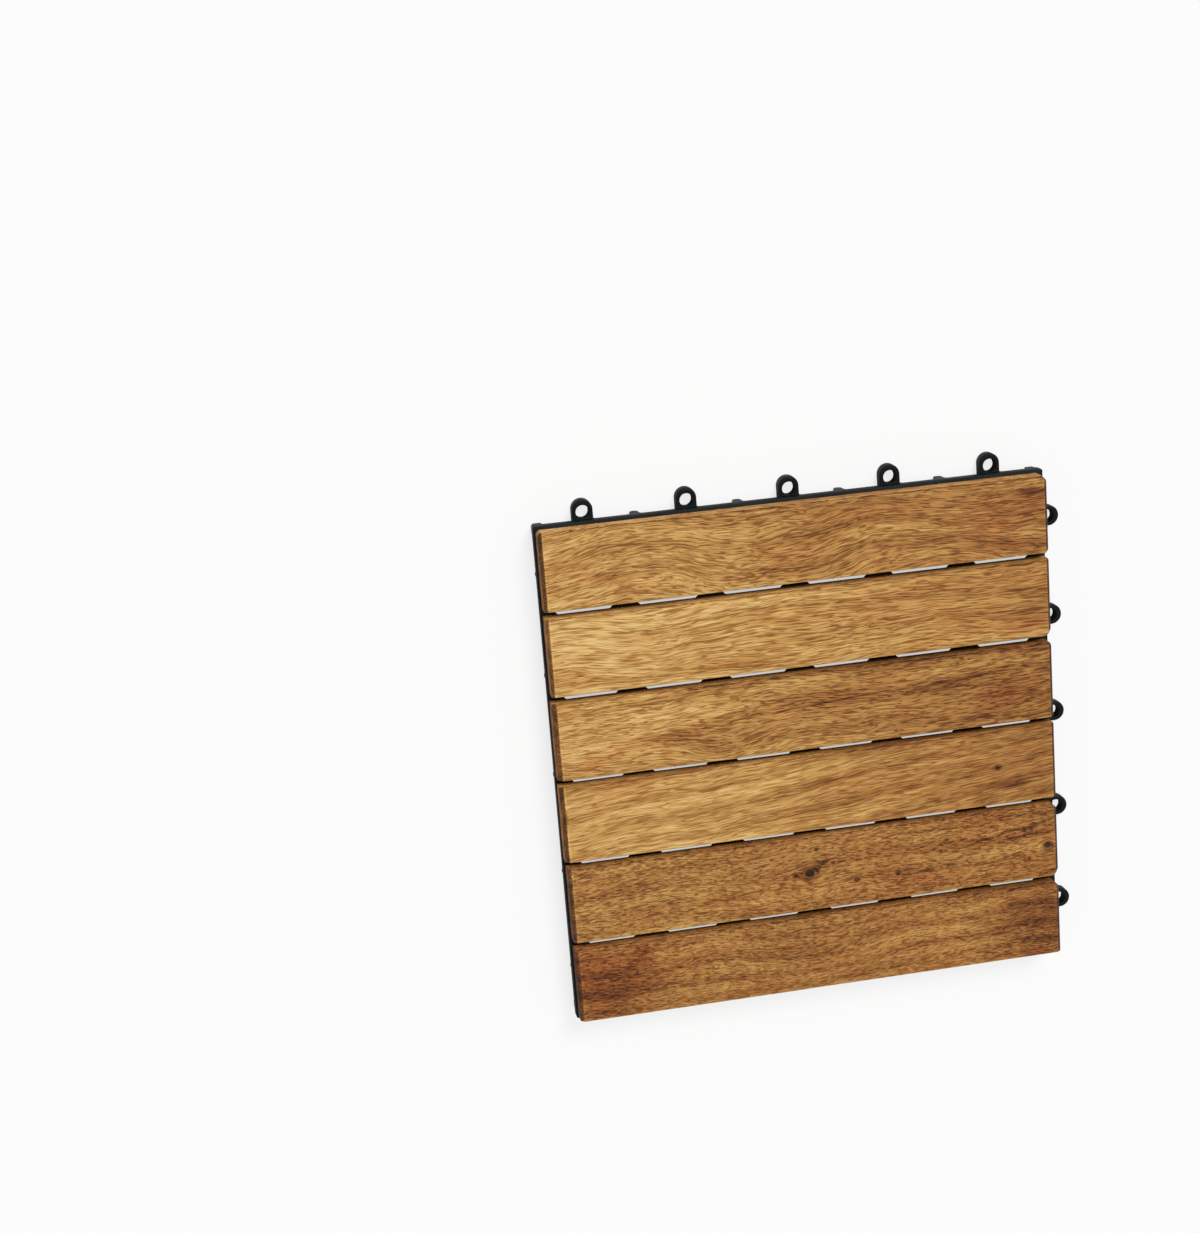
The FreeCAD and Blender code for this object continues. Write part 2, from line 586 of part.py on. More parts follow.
def build_base():
    """The one-piece moulded grid: the deck, and what hangs from it, as a single solid."""
    base = doc.addObject("Part::MultiFuse", "base_grid")
    base.Label = "base_grid"
    base.Shapes = [build_deck(), build_inner_feet(), build_edge_feet(), build_loops(), build_pins()]
    base.Refine = True
    return base


def build_slat(number):
    """One slat: a rounded section cut to length, its ends bevelled and some corners cut back."""
    body = new_body(f"slat_{number}")
    row = f"slat_row_{number}"
    left_end = f"left_end_{number}"
    section = new_sketch(body, f"section_{number}", "YZ_Plane", x=row, z=f"slat_shift_{number}")
    draw_frame(section, "-slat_half_width", "slat_half_width", "deck_top", "slat_top", SLAT_ROUND)
    add_pad(body, f"plank_{number}", section, f"slat_length_{number}", middle=True)
    bevels = new_sketch(body, f"bevel_profile_{number}", "XZ_Plane", z="-" + row)
    draw_outline(bevels, [("bevel_start", "slat_top"), ("slat_half_length", "bevel_low"),
                          ("slat_half_length", "slat_top")])
    draw_outline(bevels, [("-" + f"left_bevel_start_{number}", "slat_top"), ("-" + left_end, "slat_top"),
                          ("-" + left_end, f"left_bevel_low_{number}")])
    add_pocket(body, f"bevels_{number}", bevels, "slat_pitch", middle=True)
    for index, (slat, end, side, size) in enumerate(CORNER_CUTS):
        if slat != number:
            continue
        cut = new_sketch(body, f"corner_{index}_outline", "XY_Plane", y=row, z="slat_top")
        along = "slat_half_length" if end == "right" else "-" + left_end
        back = f"{size}_from_right" if end == "right" else "-" + f"{size}_from_left_{number}"
        sign = "" if side == "back" else "-"
        draw_outline(cut, [(back, sign + "slat_half_width"), (along, sign + "slat_half_width"),
                           (along, sign + f"{size}_from_side")])
        add_pocket(body, f"corner_{index}", cut, "slat_thickness")
    pilot = new_sketch(body, f"pilot_outline_{number}", "XY_Plane", x="-screw_reach", y=row, z="deck_top")
    draw_circle(pilot, "shank_radius")
    hole = add_pocket(body, f"pilot_{number}", pilot, "pilot_depth", up=True)
    add_row(body, f"pilots_{number}", [hole], "X_Axis", "screw_span", "screws_per_slat")
    return body


def build_screws(number):
    """The screws of one slat: pan head, plain shank and a point, repeated along the slat."""
    body = new_body(f"screws_slat_{number}", several=True)
    profile = new_sketch(body, f"screw_profile_{number}", "XZ_Plane",
                         x="-screw_reach", z=f"-slat_row_{number}")
    draw_outline(profile, [(0, "head_bottom"), ("head_crown_radius", "head_bottom"),
                           ("head_radius", "head_crown_top"), ("head_radius", "screw_seat"),
                           ("shank_radius", "screw_seat"), ("shank_radius", "tip_start"), (0, "tip_top")])
    screw = add_revolution(body, f"screw_{number}", profile)
    add_row(body, f"screw_row_{number}", [screw], "X_Axis", "screw_span", "screws_per_slat")
    return body


def slat_cells():
    """The places that each slat has of its own, counted from the +Y side."""
    cells = [("both_ends", "2"), ("wide_feet_count", "3"), ("bevel_angle", "45"),
             ("bevel_start", "slat_half_length - end_bevel"), ("bevel_low", "slat_top - end_bevel")]
    for size in ("cut_small", "cut_large"):
        cells.append((f"{size}_from_right", f"slat_half_length - {size}"))
        cells.append((f"{size}_from_side", f"slat_half_width - {size}"))
    for number in SLAT_NUMBERS:
        cells.append((f"slat_row_{number}", f"slat_pitch * ((slat_count + 1) / 2 - {number})"))
        cells.append((f"left_end_{number}", f"slat_half_length + left_reach_{number}"))
        cells.append((f"slat_length_{number}", f"slat_half_length + left_end_{number}"))
        cells.append((f"slat_shift_{number}", f"-left_reach_{number} / 2"))
        cells.append((f"left_bevel_start_{number}", f"left_end_{number} - left_bevel_{number}"))
        cells.append((f"left_bevel_low_{number}", f"slat_top - left_bevel_{number}"))
        cells.append((f"cut_small_from_left_{number}", f"left_end_{number} - cut_small"))
        cells.append((f"cut_large_from_left_{number}", f"left_end_{number} - cut_large"))
    return cells


def check_and_export(bodies):
    """Stop on any failed object or bad shape, then write one file for each sub-part."""
    doc.recompute()
    failed = [item.Name for item in doc.Objects if {"Invalid", "Error"} & set(item.State)]
    if failed:
        raise RuntimeError("failed: " + ", ".join(failed))
    for body in bodies:
        if body.Shape.isNull() or not body.Shape.isValid():
            raise RuntimeError("bad shape: " + body.Label)
    os.makedirs("parts", exist_ok=True)
    for body in bodies:
        body.Shape.exportStep(f"parts/{body.Label}.step")
        box = body.Shape.BoundBox
        print(f"{body.Label}: {len(body.Shape.Solids)} solids, {body.Shape.Volume / 1000:.2f} cm3, "
              f"x {box.XMin:.2f} to {box.XMax:.2f}, y {box.YMin:.2f} to {box.YMax:.2f}, "
              f"z {box.ZMin:.2f} to {box.ZMax:.2f}")


SLAT_NUMBERS = range(1, 7)
WORKED_OUT += slat_cells()
fill_sheet()
sub_parts = [build_base()]
for slat_number in SLAT_NUMBERS:
    sub_parts.append(build_slat(slat_number))
    sub_parts.append(build_screws(slat_number))
check_and_export(sub_parts)
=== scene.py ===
"""A clip-together deck tile: six oiled hardwood slats screwed onto a moulded plastic grid.

Lengths are in millimetres up to the point where a mesh is made, and in metres from there on.
Points of a mesh that are closer than WELD millimetres are merged.
The tile lies flat on the floor with its slats along X, as it is packed.
"""

import logging
import math
from dataclasses import dataclass
from enum import Enum
from typing import Any

import bmesh
import bpy
import numpy as np
from mathutils import Matrix, Vector


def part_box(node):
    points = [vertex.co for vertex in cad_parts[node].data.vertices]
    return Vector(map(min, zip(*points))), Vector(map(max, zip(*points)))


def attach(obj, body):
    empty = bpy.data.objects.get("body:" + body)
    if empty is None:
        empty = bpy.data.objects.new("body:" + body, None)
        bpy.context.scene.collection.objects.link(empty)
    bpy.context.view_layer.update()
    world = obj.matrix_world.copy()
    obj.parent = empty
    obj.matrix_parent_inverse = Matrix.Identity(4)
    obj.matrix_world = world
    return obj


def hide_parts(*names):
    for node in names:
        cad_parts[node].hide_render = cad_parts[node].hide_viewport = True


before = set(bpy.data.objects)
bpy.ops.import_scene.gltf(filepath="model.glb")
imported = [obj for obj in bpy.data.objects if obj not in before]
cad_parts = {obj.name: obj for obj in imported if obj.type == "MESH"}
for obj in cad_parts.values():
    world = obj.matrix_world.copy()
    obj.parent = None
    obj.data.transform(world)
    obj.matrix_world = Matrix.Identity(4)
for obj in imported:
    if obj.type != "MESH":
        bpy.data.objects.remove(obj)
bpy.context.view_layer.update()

LOG = logging.getLogger("deck_tile")
METRES = 0.001
WELD = 0.004
BODY = "root"
WHITE = "#FFFFFF"
Sizes = tuple[float, float, float]


class Slot(Enum):
    """The record's material slots, by name. The pieces here are given materials of their own and don't
    use them.
    """

    WOOD = "hardwood"
    PLASTIC = "grid_plastic"
    STEEL = "screw_steel"


class End(Enum):
    """The two ends of a slat, by the side of X that each is on."""

    LEFT = -1
    RIGHT = 1


class Side(Enum):
    """The two long sides of a slat, by the side of Y that each is on."""

    FRONT = -1
    BACK = 1


def linear(hex_colour: str) -> tuple[float, float, float, float]:
    """Turn an sRGB hex colour into linear light.

    Args:
        hex_colour: The colour, written as #RRGGBB.

    Returns:
        Red, green, blue and an alpha of 1, in linear light.
    """
    channels = np.array([int(hex_colour[place:place + 2], 16) for place in (1, 3, 5)]) / 255
    curved = ((channels + 0.055) / 1.055) ** 2.4
    light = np.where(channels <= 0.04045, channels / 12.92, curved)
    return (float(light[0]), float(light[1]), float(light[2]), 1.0)


class Graph:
    """The node tree of one material or of the world."""

    def __init__(self, owner: bpy.types.ID) -> None:
        """Empty the owner's tree, ready for its nodes.

        Args:
            owner: The material or the world.
        """
        owner.use_nodes = True
        self.tree = owner.node_tree
        self.tree.nodes.clear()

    def add(self, kind: str, sockets: dict | None = None, out: int | str = 0, **settings: Any) -> Any:
        """Add one node with its settings and links.

        Args:
            kind: The node's type, without the words ShaderNode.
            sockets: A value or another node's output for each input named.
            out: The name or number of the output that is wanted.
            **settings: The node's own properties.

        Returns:
            The wanted output, or the node itself where it has none.
        """
        made = self.tree.nodes.new("ShaderNode" + kind)
        for name, value in settings.items():
            setattr(made, name, value)
        for place, value in (sockets or {}).items():
            if isinstance(value, bpy.types.NodeSocket):
                self.tree.links.new(value, made.inputs[place])
            else:
                made.inputs[place].default_value = value
        return made.outputs[out] if made.outputs else made

    def place(self) -> Any:
        """Read the place on the piece, in millimetres."""
        return self.add("VectorMath", {0: self.add("TexCoord", out="Object"), 1: (1 / METRES,) * 3},
                        operation="MULTIPLY")

    def total(self, start: Any, *parts: tuple[Any, float]) -> Any:
        """Sum up a start value and shares, each times its weight.

        Args:
            start: The value to start from.
            *parts: Pairs of a share and its weight.

        Returns:
            The sum.
        """
        for share, weight in parts:
            start = self.add("Math", {0: share, 1: weight, 2: start}, operation="MULTIPLY_ADD")
        return start


@dataclass(frozen=True)
class Knot:
    """A small knot that the grain flows round.

    x and y are its centre, radius its size across the grain, dark how black its core is and stain
    how brown the wood is round it.
    """

    x: float
    y: float
    radius: float
    dark: float = 0.9
    stain: float = 1.0


@dataclass(frozen=True)
class Cloud:
    """A soft patch or a narrow streak of other wood.

    x and y are its centre, along and across its reach, tone what it adds to the wood's tone and red
    how much redder it is. Its middle line climbs by lean and bends by bow, per millimetre, and
    ragged is how much its edge is broken.
    """

    x: float
    y: float
    along: float
    across: float
    tone: float
    red: float = 0.0
    lean: float = 0.0
    bow: float = 0.0
    ragged: float = 1.1


@dataclass(frozen=True)
class Swell:
    """A place where the grain bulges sideways, as it does over a buried branch.

    x and y are its centre, along and across its reach and rise how far it pushes the grain.
    """

    x: float
    y: float
    along: float
    across: float
    rise: float


@dataclass(frozen=True)
class OiledAcacia:
    """Acacia, planed, smoothed by a sander and oiled: golden brown with short dark pores and a satin
    face.

    The tone goes from 0, dark heartwood, to 1, pale sapwood. level is its middle, and fade and slope
    are its change along X and Y. red is how much redder the wood is than plain gold. lean is the
    grain's climb along the slat, and sway and curl are how far it wanders, slowly and quickly. The
    year's rings are ring_gap wide and ring dark, round a heart that lies at heart_y and heart_z and
    tilts by heart_tilt. The pores, pores dark, are the open vessels of the wood, and grain sets how
    long they run: they are long where the grain is parallel with the face and short where it dives.
    Real ones are about 0.2 mm wide. They are drawn up to half a millimetre wide, so that they show.
    seed moves the slat to a place of its own in the tree, by seed_step times its number. The sizes
    from slow_bend to ragged_edge are those of its noises, along, across and down.
    """

    seed: int
    level: float = 0.66
    fade: float = -0.0006
    slope: float = 0.0
    lean: float = 0.0
    red: float = 0.2
    heart_y: float = 60.0
    heart_z: float = -30.0
    heart_tilt: float = 0.02
    ring_gap: float = 11.0
    ring: float = 0.10
    sway: float = 34.0
    curl: float = 5.0
    pores: float = 0.35
    grain: float = 20.0
    knots: tuple[Knot, ...] = ()
    clouds: tuple[Cloud, ...] = ()
    swells: tuple[Swell, ...] = ()
    seed_step: Sizes = (613.0, 187.0, 91.0)
    slow_bend: Sizes = (105.0, 62.0, 62.0)
    quick_bend: Sizes = (24.0, 11.0, 11.0)
    broad_streak: Sizes = (95.0, 9.0, 9.0)
    slim_streak: Sizes = (44.0, 2.6, 2.6)
    blush: Sizes = (38.0, 12.0, 12.0)
    ragged_edge: Sizes = (22.0, 6.0, 6.0)
    fibre_width: float = 0.45
    redder: str = "#F9DBDA"
    knot_black: str = "#1B0F08"
    tones: tuple[tuple[float, str], ...] = (
        (0.0, "#331D0D"), (0.15, "#5A3617"), (0.3, "#7B4E23"), (0.45, "#986631"), (0.6, "#B07F43"),
        (0.75, "#C69854"), (0.88, "#D9AE69"), (1.0, "#E9C585"))

    @property
    def offset(self) -> Sizes:
        """The slat's own place in the tree."""
        return tuple(self.seed * step for step in self.seed_step)

    def material(self, name: str) -> bpy.types.Material:
        """Build the wood as a solid texture on the slat's own coordinates.

        Args:
            name: The material's name.

        Returns:
            The finished material.
        """
        made = bpy.data.materials.new(name)
        g = Graph(made)
        here = g.place()
        moved = g.add("VectorMath", {0: here, 1: self.offset}, operation="ADD")
        flow = self.wander(g, moved, moved, self.slow_bend, self.sway)
        flow = self.wander(g, moved, flow, self.quick_bend, self.curl)
        flow = self.climb(g, here, flow)
        core, halo = 0.0, 0.0
        for knot in self.knots:
            flow, core, halo = self.part(g, here, flow, knot, core, halo)
        broad = self.streaks(g, flow, self.broad_streak, 3.0)
        slim = self.streaks(g, flow, self.slim_streak, 2.0)
        fibre = self.streaks(g, flow, (0.6 * self.grain, self.fibre_width, self.fibre_width), 2.0)
        end = self.cut_ends(g)
        pore = g.add("Math", {0: self.vessels(g, moved, flow), 1: g.total(1.0, (end, -0.55))},
                     operation="MULTIPLY")
        # Edge marks: sanding wear and stains, with a painted highlight on the bevels' edges and painted
        # shade along the back arris.
        wear_and_painted_light = g.add("Attribute", out="Fac", attribute_name="wear_stain_and_painted_light")
        tone = g.add("VectorMath", {0: here, 1: (self.fade, self.slope, 0.0)}, out="Value",
                     operation="DOT_PRODUCT")
        tone = g.add("Math", {0: tone, 1: self.level}, operation="ADD")
        tone = g.total(tone, (broad, 0.50), (slim, 0.15), (fibre, 0.80),
                       (self.growth(g, flow), -self.ring), (pore, -self.pores))
        red = g.total(self.red, (self.streaks(g, moved, self.blush, 3.0), 1.4), (broad, -0.9))
        ragged = self.streaks(g, moved, self.ragged_edge, 3.0)
        for cloud in self.clouds:
            share = self.patch(g, here, ragged, cloud)
            tone = g.total(tone, (share, cloud.tone))
            red = g.total(red, (share, cloud.red))
        # The edge marks add wear and painted highlight, and take off stain and painted shade.
        tone = g.total(tone, (halo, -0.22), (end, -0.40), (wear_and_painted_light, 0.34))
        colour = g.add("Mix", {0: red, 6: self.ramp(g, tone), 7: linear(self.redder)}, out=2,
                       data_type="RGBA", blend_type="MULTIPLY")
        colour = g.add("Mix", {0: core, 6: colour, 7: linear(self.knot_black)}, out=2,
                       data_type="RGBA")
        self.dress(g, colour, fibre, pore)
        return made

    def climb(self, g: Graph, here: Any, flow: Any) -> Any:
        """Lean the grain along the slat and bulge it over each swell.

        Args:
            g: The tree.
            here: The plain place in the slat.
            flow: The grain's place so far.

        Returns:
            The grain's new place.
        """
        rise = g.add("VectorMath", {0: here, 1: (-self.lean, 0.0, 0.0)}, out="Value",
                     operation="DOT_PRODUCT")
        for swell in self.swells:
            spread = (1 / swell.along, 1 / swell.across, 0.0)
            start = (-swell.x * spread[0], -swell.y * spread[1], 0.0)
            place = g.add("VectorMath", {0: here, 1: spread, 2: start}, operation="MULTIPLY_ADD")
            far = g.add("VectorMath", {0: place}, out="Value", operation="LENGTH")
            bulge = g.add("MapRange", {"Value": far, "From Min": 1.0, "From Max": 0.0},
                          interpolation_type="SMOOTHERSTEP")
            rise = g.total(rise, (bulge, -swell.rise))
        lifted = g.add("CombineXYZ", {"Y": rise})
        return g.add("VectorMath", {0: flow, 1: lifted}, operation="ADD")

    def wander(self, g: Graph, moved: Any, flow: Any, sizes: Sizes, reach: float) -> Any:
        """Push the grain sideways and up and down by a slow noise.

        Args:
            g: The tree.
            moved: The plain place in the wood.
            flow: The grain's place so far.
            sizes: The length of the noise along and across the slat.
            reach: How far it pushes for a whole unit of noise.

        Returns:
            The pushed place.
        """
        place = g.add("VectorMath", {0: moved, 1: tuple(1 / size for size in sizes)},
                      operation="MULTIPLY")
        noise = g.add("TexNoise", {"Vector": place, "Scale": 1.0, "Detail": 1.5}, out="Color")
        centred = g.add("VectorMath", {0: noise, 1: (0.5,) * 3}, operation="SUBTRACT")
        return g.add("VectorMath", {0: centred, 1: (0.0, reach, 0.5 * reach), 2: flow},
                     operation="MULTIPLY_ADD")

    def part(self, g: Graph, here: Any, flow: Any, knot: Knot, core: Any, halo: Any) -> tuple:
        """Lead the grain round a knot as water goes round a stone.

        The push is the offset from the knot times radius squared over distance squared.

        Args:
            g: The tree.
            here: The plain place in the slat.
            flow: The grain's place so far.
            knot: The knot.
            core: The share of black core so far.
            halo: The share of dark ring so far.

        Returns:
            The new grain, core and halo.
        """
        longer = 0.85
        away = g.add("VectorMath", {0: here, 1: (longer, 1.0, 0.0), 2: (-knot.x * longer, -knot.y, 0.0)},
                     operation="MULTIPLY_ADD")
        square = g.add("VectorMath", {0: away, 1: away}, out="Value", operation="DOT_PRODUCT")
        area = knot.radius ** 2
        eased = g.add("Math", {0: square, 1: 0.35 * area}, operation="ADD")
        pull = g.add("Math", {0: -1.5 * area, 1: eased}, operation="DIVIDE")
        push = g.add("VectorMath", {0: away, "Scale": pull}, operation="SCALE")
        flow = g.add("VectorMath", {0: flow, 1: push}, operation="ADD")
        shares = []
        for outer, inner, most in ((1.0, 0.45, knot.dark), (6.0, 0.6, knot.stain)):
            shares.append(g.add("MapRange", {"Value": square, "From Min": outer * area,
                                             "From Max": inner * area, "To Max": most},
                                interpolation_type="SMOOTHSTEP"))
        core, halo = (g.add("Math", {0: share, 1: so_far}, operation="MAXIMUM")
                      for share, so_far in zip(shares, (core, halo)))
        return flow, core, halo

    def streaks(self, g: Graph, flow: Any, sizes: Sizes, detail: float) -> Any:
        """Draw a noise out along the grain.

        Args:
            g: The tree.
            flow: The place that the noise is read at.
            sizes: The length of the noise along, across and down, in millimetres.
            detail: How many finer noises lie over it.

        Returns:
            The noise, less its middle of a half.
        """
        place = g.add("VectorMath", {0: flow, 1: tuple(1 / size for size in sizes)},
                      operation="MULTIPLY")
        noise = g.add("TexNoise", {"Vector": place, "Scale": 1.0, "Detail": detail})
        return g.add("Math", {0: noise, 1: 0.5}, operation="SUBTRACT")

    def growth(self, g: Graph, flow: Any) -> Any:
        """Work out the dark late wood of each year's ring.

        The rings are cylinders round the heart of the tree, which runs nearly along the slat.

        Args:
            g: The tree.
            flow: The grain's place.

        Returns:
            0 in early wood, up to 1 at the end of each ring.
        """
        start = (self.offset[0], self.offset[1] + self.heart_y, self.offset[2] + self.heart_z)
        spoke = g.add("VectorMath", {0: flow, 1: start}, operation="SUBTRACT")
        across, depth = (g.add("VectorMath", {0: spoke, 1: axis}, out="Value", operation="DOT_PRODUCT")
                         for axis in ((0.0, 1.0, 0.0), (self.heart_tilt, 0.0, 1.0)))
        spoke = g.add("CombineXYZ", {"Y": across, "Z": depth})
        radius = g.add("VectorMath", {0: spoke}, out="Value", operation="LENGTH")
        years = g.add("Math", {0: radius, 1: self.ring_gap}, operation="DIVIDE")
        year = g.add("Math", {0: years}, operation="FRACT")
        rise, fall = (g.add("MapRange", {"Value": year, "From Min": low, "From Max": high},
                            interpolation_type="SMOOTHSTEP")
                      for low, high in ((0.35, 0.93), (1.0, 0.95)))
        return g.add("Math", {0: rise, 1: fall}, operation="MULTIPLY")

    def vessels(self, g: Graph, moved: Any, flow: Any) -> Any:
        """Draw the pores as thin dark lines along the grain, broken into dashes.

        A line is where a drawn out noise passes through its middle. The gaps between dashes are
        wider in some areas than in others.

        Args:
            g: The tree.
            moved: The plain place in the wood.
            flow: The grain's place.

        Returns:
            0 in solid wood, up to 1 in a pore.
        """
        area = g.add("VectorMath", {0: moved, 1: (0.035, 0.09, 0.09)}, operation="MULTIPLY")
        crowd = g.add("TexNoise", {"Vector": area, "Scale": 1.0, "Detail": 2.0})
        low = g.add("MapRange", {"Value": crowd, "From Min": 0.35, "From Max": 0.65,
                                 "To Min": -0.09, "To Max": -0.14})
        high = g.add("Math", {0: low, 1: 0.12}, operation="ADD")
        lines = []
        for length, width in ((1.1 * self.grain, 1.30), (0.8 * self.grain, 0.85)):
            noise = self.streaks(g, flow, (length, width, width), 0.0)
            off = g.add("Math", {0: noise}, operation="ABSOLUTE")
            lines.append(g.add("MapRange", {"Value": off, "From Min": 0.11, "From Max": 0.01},
                               interpolation_type="SMOOTHSTEP"))
        line = g.add("Math", {0: lines[0], 1: lines[1]}, operation="MAXIMUM")
        breaks = self.streaks(g, flow, (0.45 * self.grain, 1.1, 1.1), 1.0)
        dash = g.add("MapRange", {"Value": breaks, "From Min": low, "From Max": high},
                     interpolation_type="SMOOTHSTEP")
        return g.add("Math", {0: line, 1: dash}, operation="MULTIPLY")

    def patch(self, g: Graph, here: Any, ragged: Any, cloud: Cloud) -> Any:
        """Find how far a place lies in a cloud, whose edge is broken by a noise.

        The place across the cloud is the offset in Y less lean times the offset in X and less bow
        times its square.

        Args:
            g: The tree.
            here: The plain place in the slat.
            ragged: The noise of the edge.
            cloud: The patch.

        Returns:
            1 well inside the cloud and 0 outside it.
        """
        offset = g.add("VectorMath", {0: here, 1: (cloud.x, cloud.y, 0.0)}, operation="SUBTRACT")
        along, across = (g.add("VectorMath", {0: offset, 1: axis}, out="Value", operation="DOT_PRODUCT")
                         for axis in ((1.0, 0.0, 0.0), (-cloud.lean, 1.0, 0.0)))
        square = g.add("Math", {0: along, 1: along}, operation="MULTIPLY")
        across = g.total(across, (square, -cloud.bow))
        place = g.add("CombineXYZ", {"X": along, "Y": across})
        place = g.add("VectorMath", {0: place, 1: (1 / cloud.along, 1 / cloud.across, 0.0)},
                      operation="MULTIPLY")
        far = g.add("VectorMath", {0: place}, out="Value", operation="LENGTH")
        far = g.total(far, (ragged, cloud.ragged))
        return g.add("MapRange", {"Value": far, "From Min": 1.0, "From Max": 0.0},
                     interpolation_type="SMOOTHSTEP")

    def cut_ends(self, g: Graph) -> Any:
        """Find how far a face looks along the slat, where cut fibres drink the oil and go dark."""
        facing = g.add("VectorMath", {0: g.add("TexCoord", out="Normal"), 1: (1.0, 0.0, 0.0)},
                       out="Value", operation="DOT_PRODUCT")
        return g.add("Math", {0: facing}, operation="ABSOLUTE")

    def ramp(self, g: Graph, tone: Any) -> Any:
        """Turn the tone into the wood's colour, from dark heartwood to pale sapwood.

        Args:
            g: The tree.
            tone: The tone, from 0 to 1.

        Returns:
            The colour.
        """
        colour = g.add("ValToRGB", {"Fac": tone})
        band = colour.node.color_ramp
        for place, _ in self.tones[1:-1]:
            band.elements.new(place)
        for element, (place, hex_colour) in zip(band.elements, self.tones):
            element.position = place
            element.color = linear(hex_colour)
        return colour

    def dress(self, g: Graph, colour: Any, fibre: Any, pore: Any) -> None:
        """Give the wood its satin face, dull in the pores, and sink the pores into it.

        Args:
            g: The tree.
            colour: The wood's colour.
            fibre: The fine streaks, which stand up a little.
            pore: The pores, which are cut open.
        """
        rough = g.add("MapRange", {"Value": fibre, "From Min": -0.2, "From Max": 0.2,
                                   "To Min": 0.50, "To Max": 0.62})
        rough = g.total(rough, (pore, 0.2))
        bump = g.add("Bump", {"Height": g.total(fibre, (pore, -1.0)), "Strength": 0.55,
                              "Distance": 0.12 * METRES})
        shader = g.add("BsdfPrincipled", {"Base Color": colour, "Roughness": rough, "Normal": bump,
                                          "IOR": 1.47, "Specular IOR Level": 0.22})
        g.add("OutputMaterial", {"Surface": shader})


@dataclass(frozen=True)
class MouldedPolypropylene:
    """Black polypropylene with ultraviolet stabiliser, injection moulded in a spark-eroded tool.

    The tool leaves a fine matt grain, and rubbing leaves the edges and the feet a little greyer. A
    real grain is about 0.1 mm wide. It is drawn grain millimetres wide, coarser, so that it shows.
    """

    colour: str = "#0B0D0E"
    scuffed: str = "#1F2425"
    grain: float = 0.45

    def material(self, name: str) -> bpy.types.Material:
        """Build the plastic's material.

        Args:
            name: The material's name.

        Returns:
            The finished material.
        """
        made = bpy.data.materials.new(name)
        g = Graph(made)
        here = g.place()
        patches = g.add("TexNoise", {"Vector": here, "Scale": 0.045, "Detail": 5.0, "Roughness": 0.6})
        edge = g.add("NewGeometry", out="Pointiness")
        rubbed = g.add("MapRange", {"Value": edge, "From Min": 0.52, "From Max": 0.60},
                       interpolation_type="SMOOTHSTEP")
        broken = g.add("MapRange", {"Value": patches, "From Min": 0.38, "From Max": 0.62,
                                    "To Min": 0.15, "To Max": 0.8})
        scuff = g.add("Math", {0: rubbed, 1: broken}, operation="MULTIPLY")
        colour = g.add("Mix", {0: scuff, 6: linear(self.colour), 7: linear(self.scuffed)}, out=2,
                       data_type="RGBA")
        rough = g.add("MapRange", {"Value": patches, "From Min": 0.3, "From Max": 0.7,
                                   "To Min": 0.40, "To Max": 0.56})
        grain = g.add("TexNoise", {"Vector": here, "Scale": 1 / self.grain, "Detail": 2.0})
        bump = g.add("Bump", {"Height": grain, "Strength": 0.35, "Distance": 0.04 * METRES})
        shader = g.add("BsdfPrincipled", {"Base Color": colour, "Roughness": rough, "Normal": bump,
                                          "IOR": 1.49, "Specular IOR Level": 0.12})
        g.add("OutputMaterial", {"Surface": shader})
        return made


@dataclass(frozen=True)
class ZincPlatedSteel:
    """Mild steel screws, zinc plated and bright, with the faint cloudiness of a barrel finish."""

    colour: str = "#B9B7AE"
    dull: str = "#9B998F"

    def material(self, name: str) -> bpy.types.Material:
        """Build the plating's material.

        Args:
            name: The material's name.

        Returns:
            The finished material.
        """
        made = bpy.data.materials.new(name)
        g = Graph(made)
        cloudy = g.add("TexNoise", {"Vector": g.place(), "Scale": 0.9, "Detail": 4.0})
        colour = g.add("Mix", {0: cloudy, 6: linear(self.dull), 7: linear(self.colour)}, out=2,
                       data_type="RGBA")
        rough = g.add("MapRange", {"Value": cloudy, "From Min": 0.3, "From Max": 0.7,
                                   "To Min": 0.24, "To Max": 0.38})
        shader = g.add("BsdfPrincipled", {"Base Color": colour, "Roughness": rough, "Metallic": 1.0})
        g.add("OutputMaterial", {"Surface": shader})
        return made


def mesh_from_grid(name: str, points: np.ndarray) -> bpy.types.Object:
    """Make a mesh object from a grid of points, one face for each cell.

    The first axis runs along the piece and the second round it, so its last column joins its first.
    Points that meet are merged, which closes the poles, and the faces are turned outwards.

    Args:
        name: The object's name.
        points: An array of rows, columns and three coordinates, in millimetres.

    Returns:
        The new object, in the scene.
    """
    rows, columns = points.shape[:2]
    corner = np.arange(rows * columns).reshape(rows, columns)
    following = np.roll(corner, -1, axis=1)
    faces = np.stack([corner[:-1], following[:-1], following[1:], corner[1:]], axis=-1).reshape(-1, 4)
    mesh = bpy.data.meshes.new(name)
    mesh.from_pydata((points.reshape(-1, 3) * METRES).tolist(), [], faces.tolist())
    work = bmesh.new()
    work.from_mesh(mesh)
    bmesh.ops.remove_doubles(work, verts=work.verts, dist=WELD * METRES)
    bmesh.ops.recalc_face_normals(work, faces=work.faces)
    work.to_mesh(mesh)
    work.free()
    return into_scene(name, mesh)


def into_scene(name: str, data: bpy.types.ID) -> bpy.types.Object:
    """Put a mesh, a lamp or a camera in the scene, as an object at the origin.

    Args:
        name: The object's name.
        data: Its mesh, lamp or camera.

    Returns:
        The new object.
    """
    made = bpy.data.objects.new(name, data)
    bpy.context.scene.collection.objects.link(made)
    return made


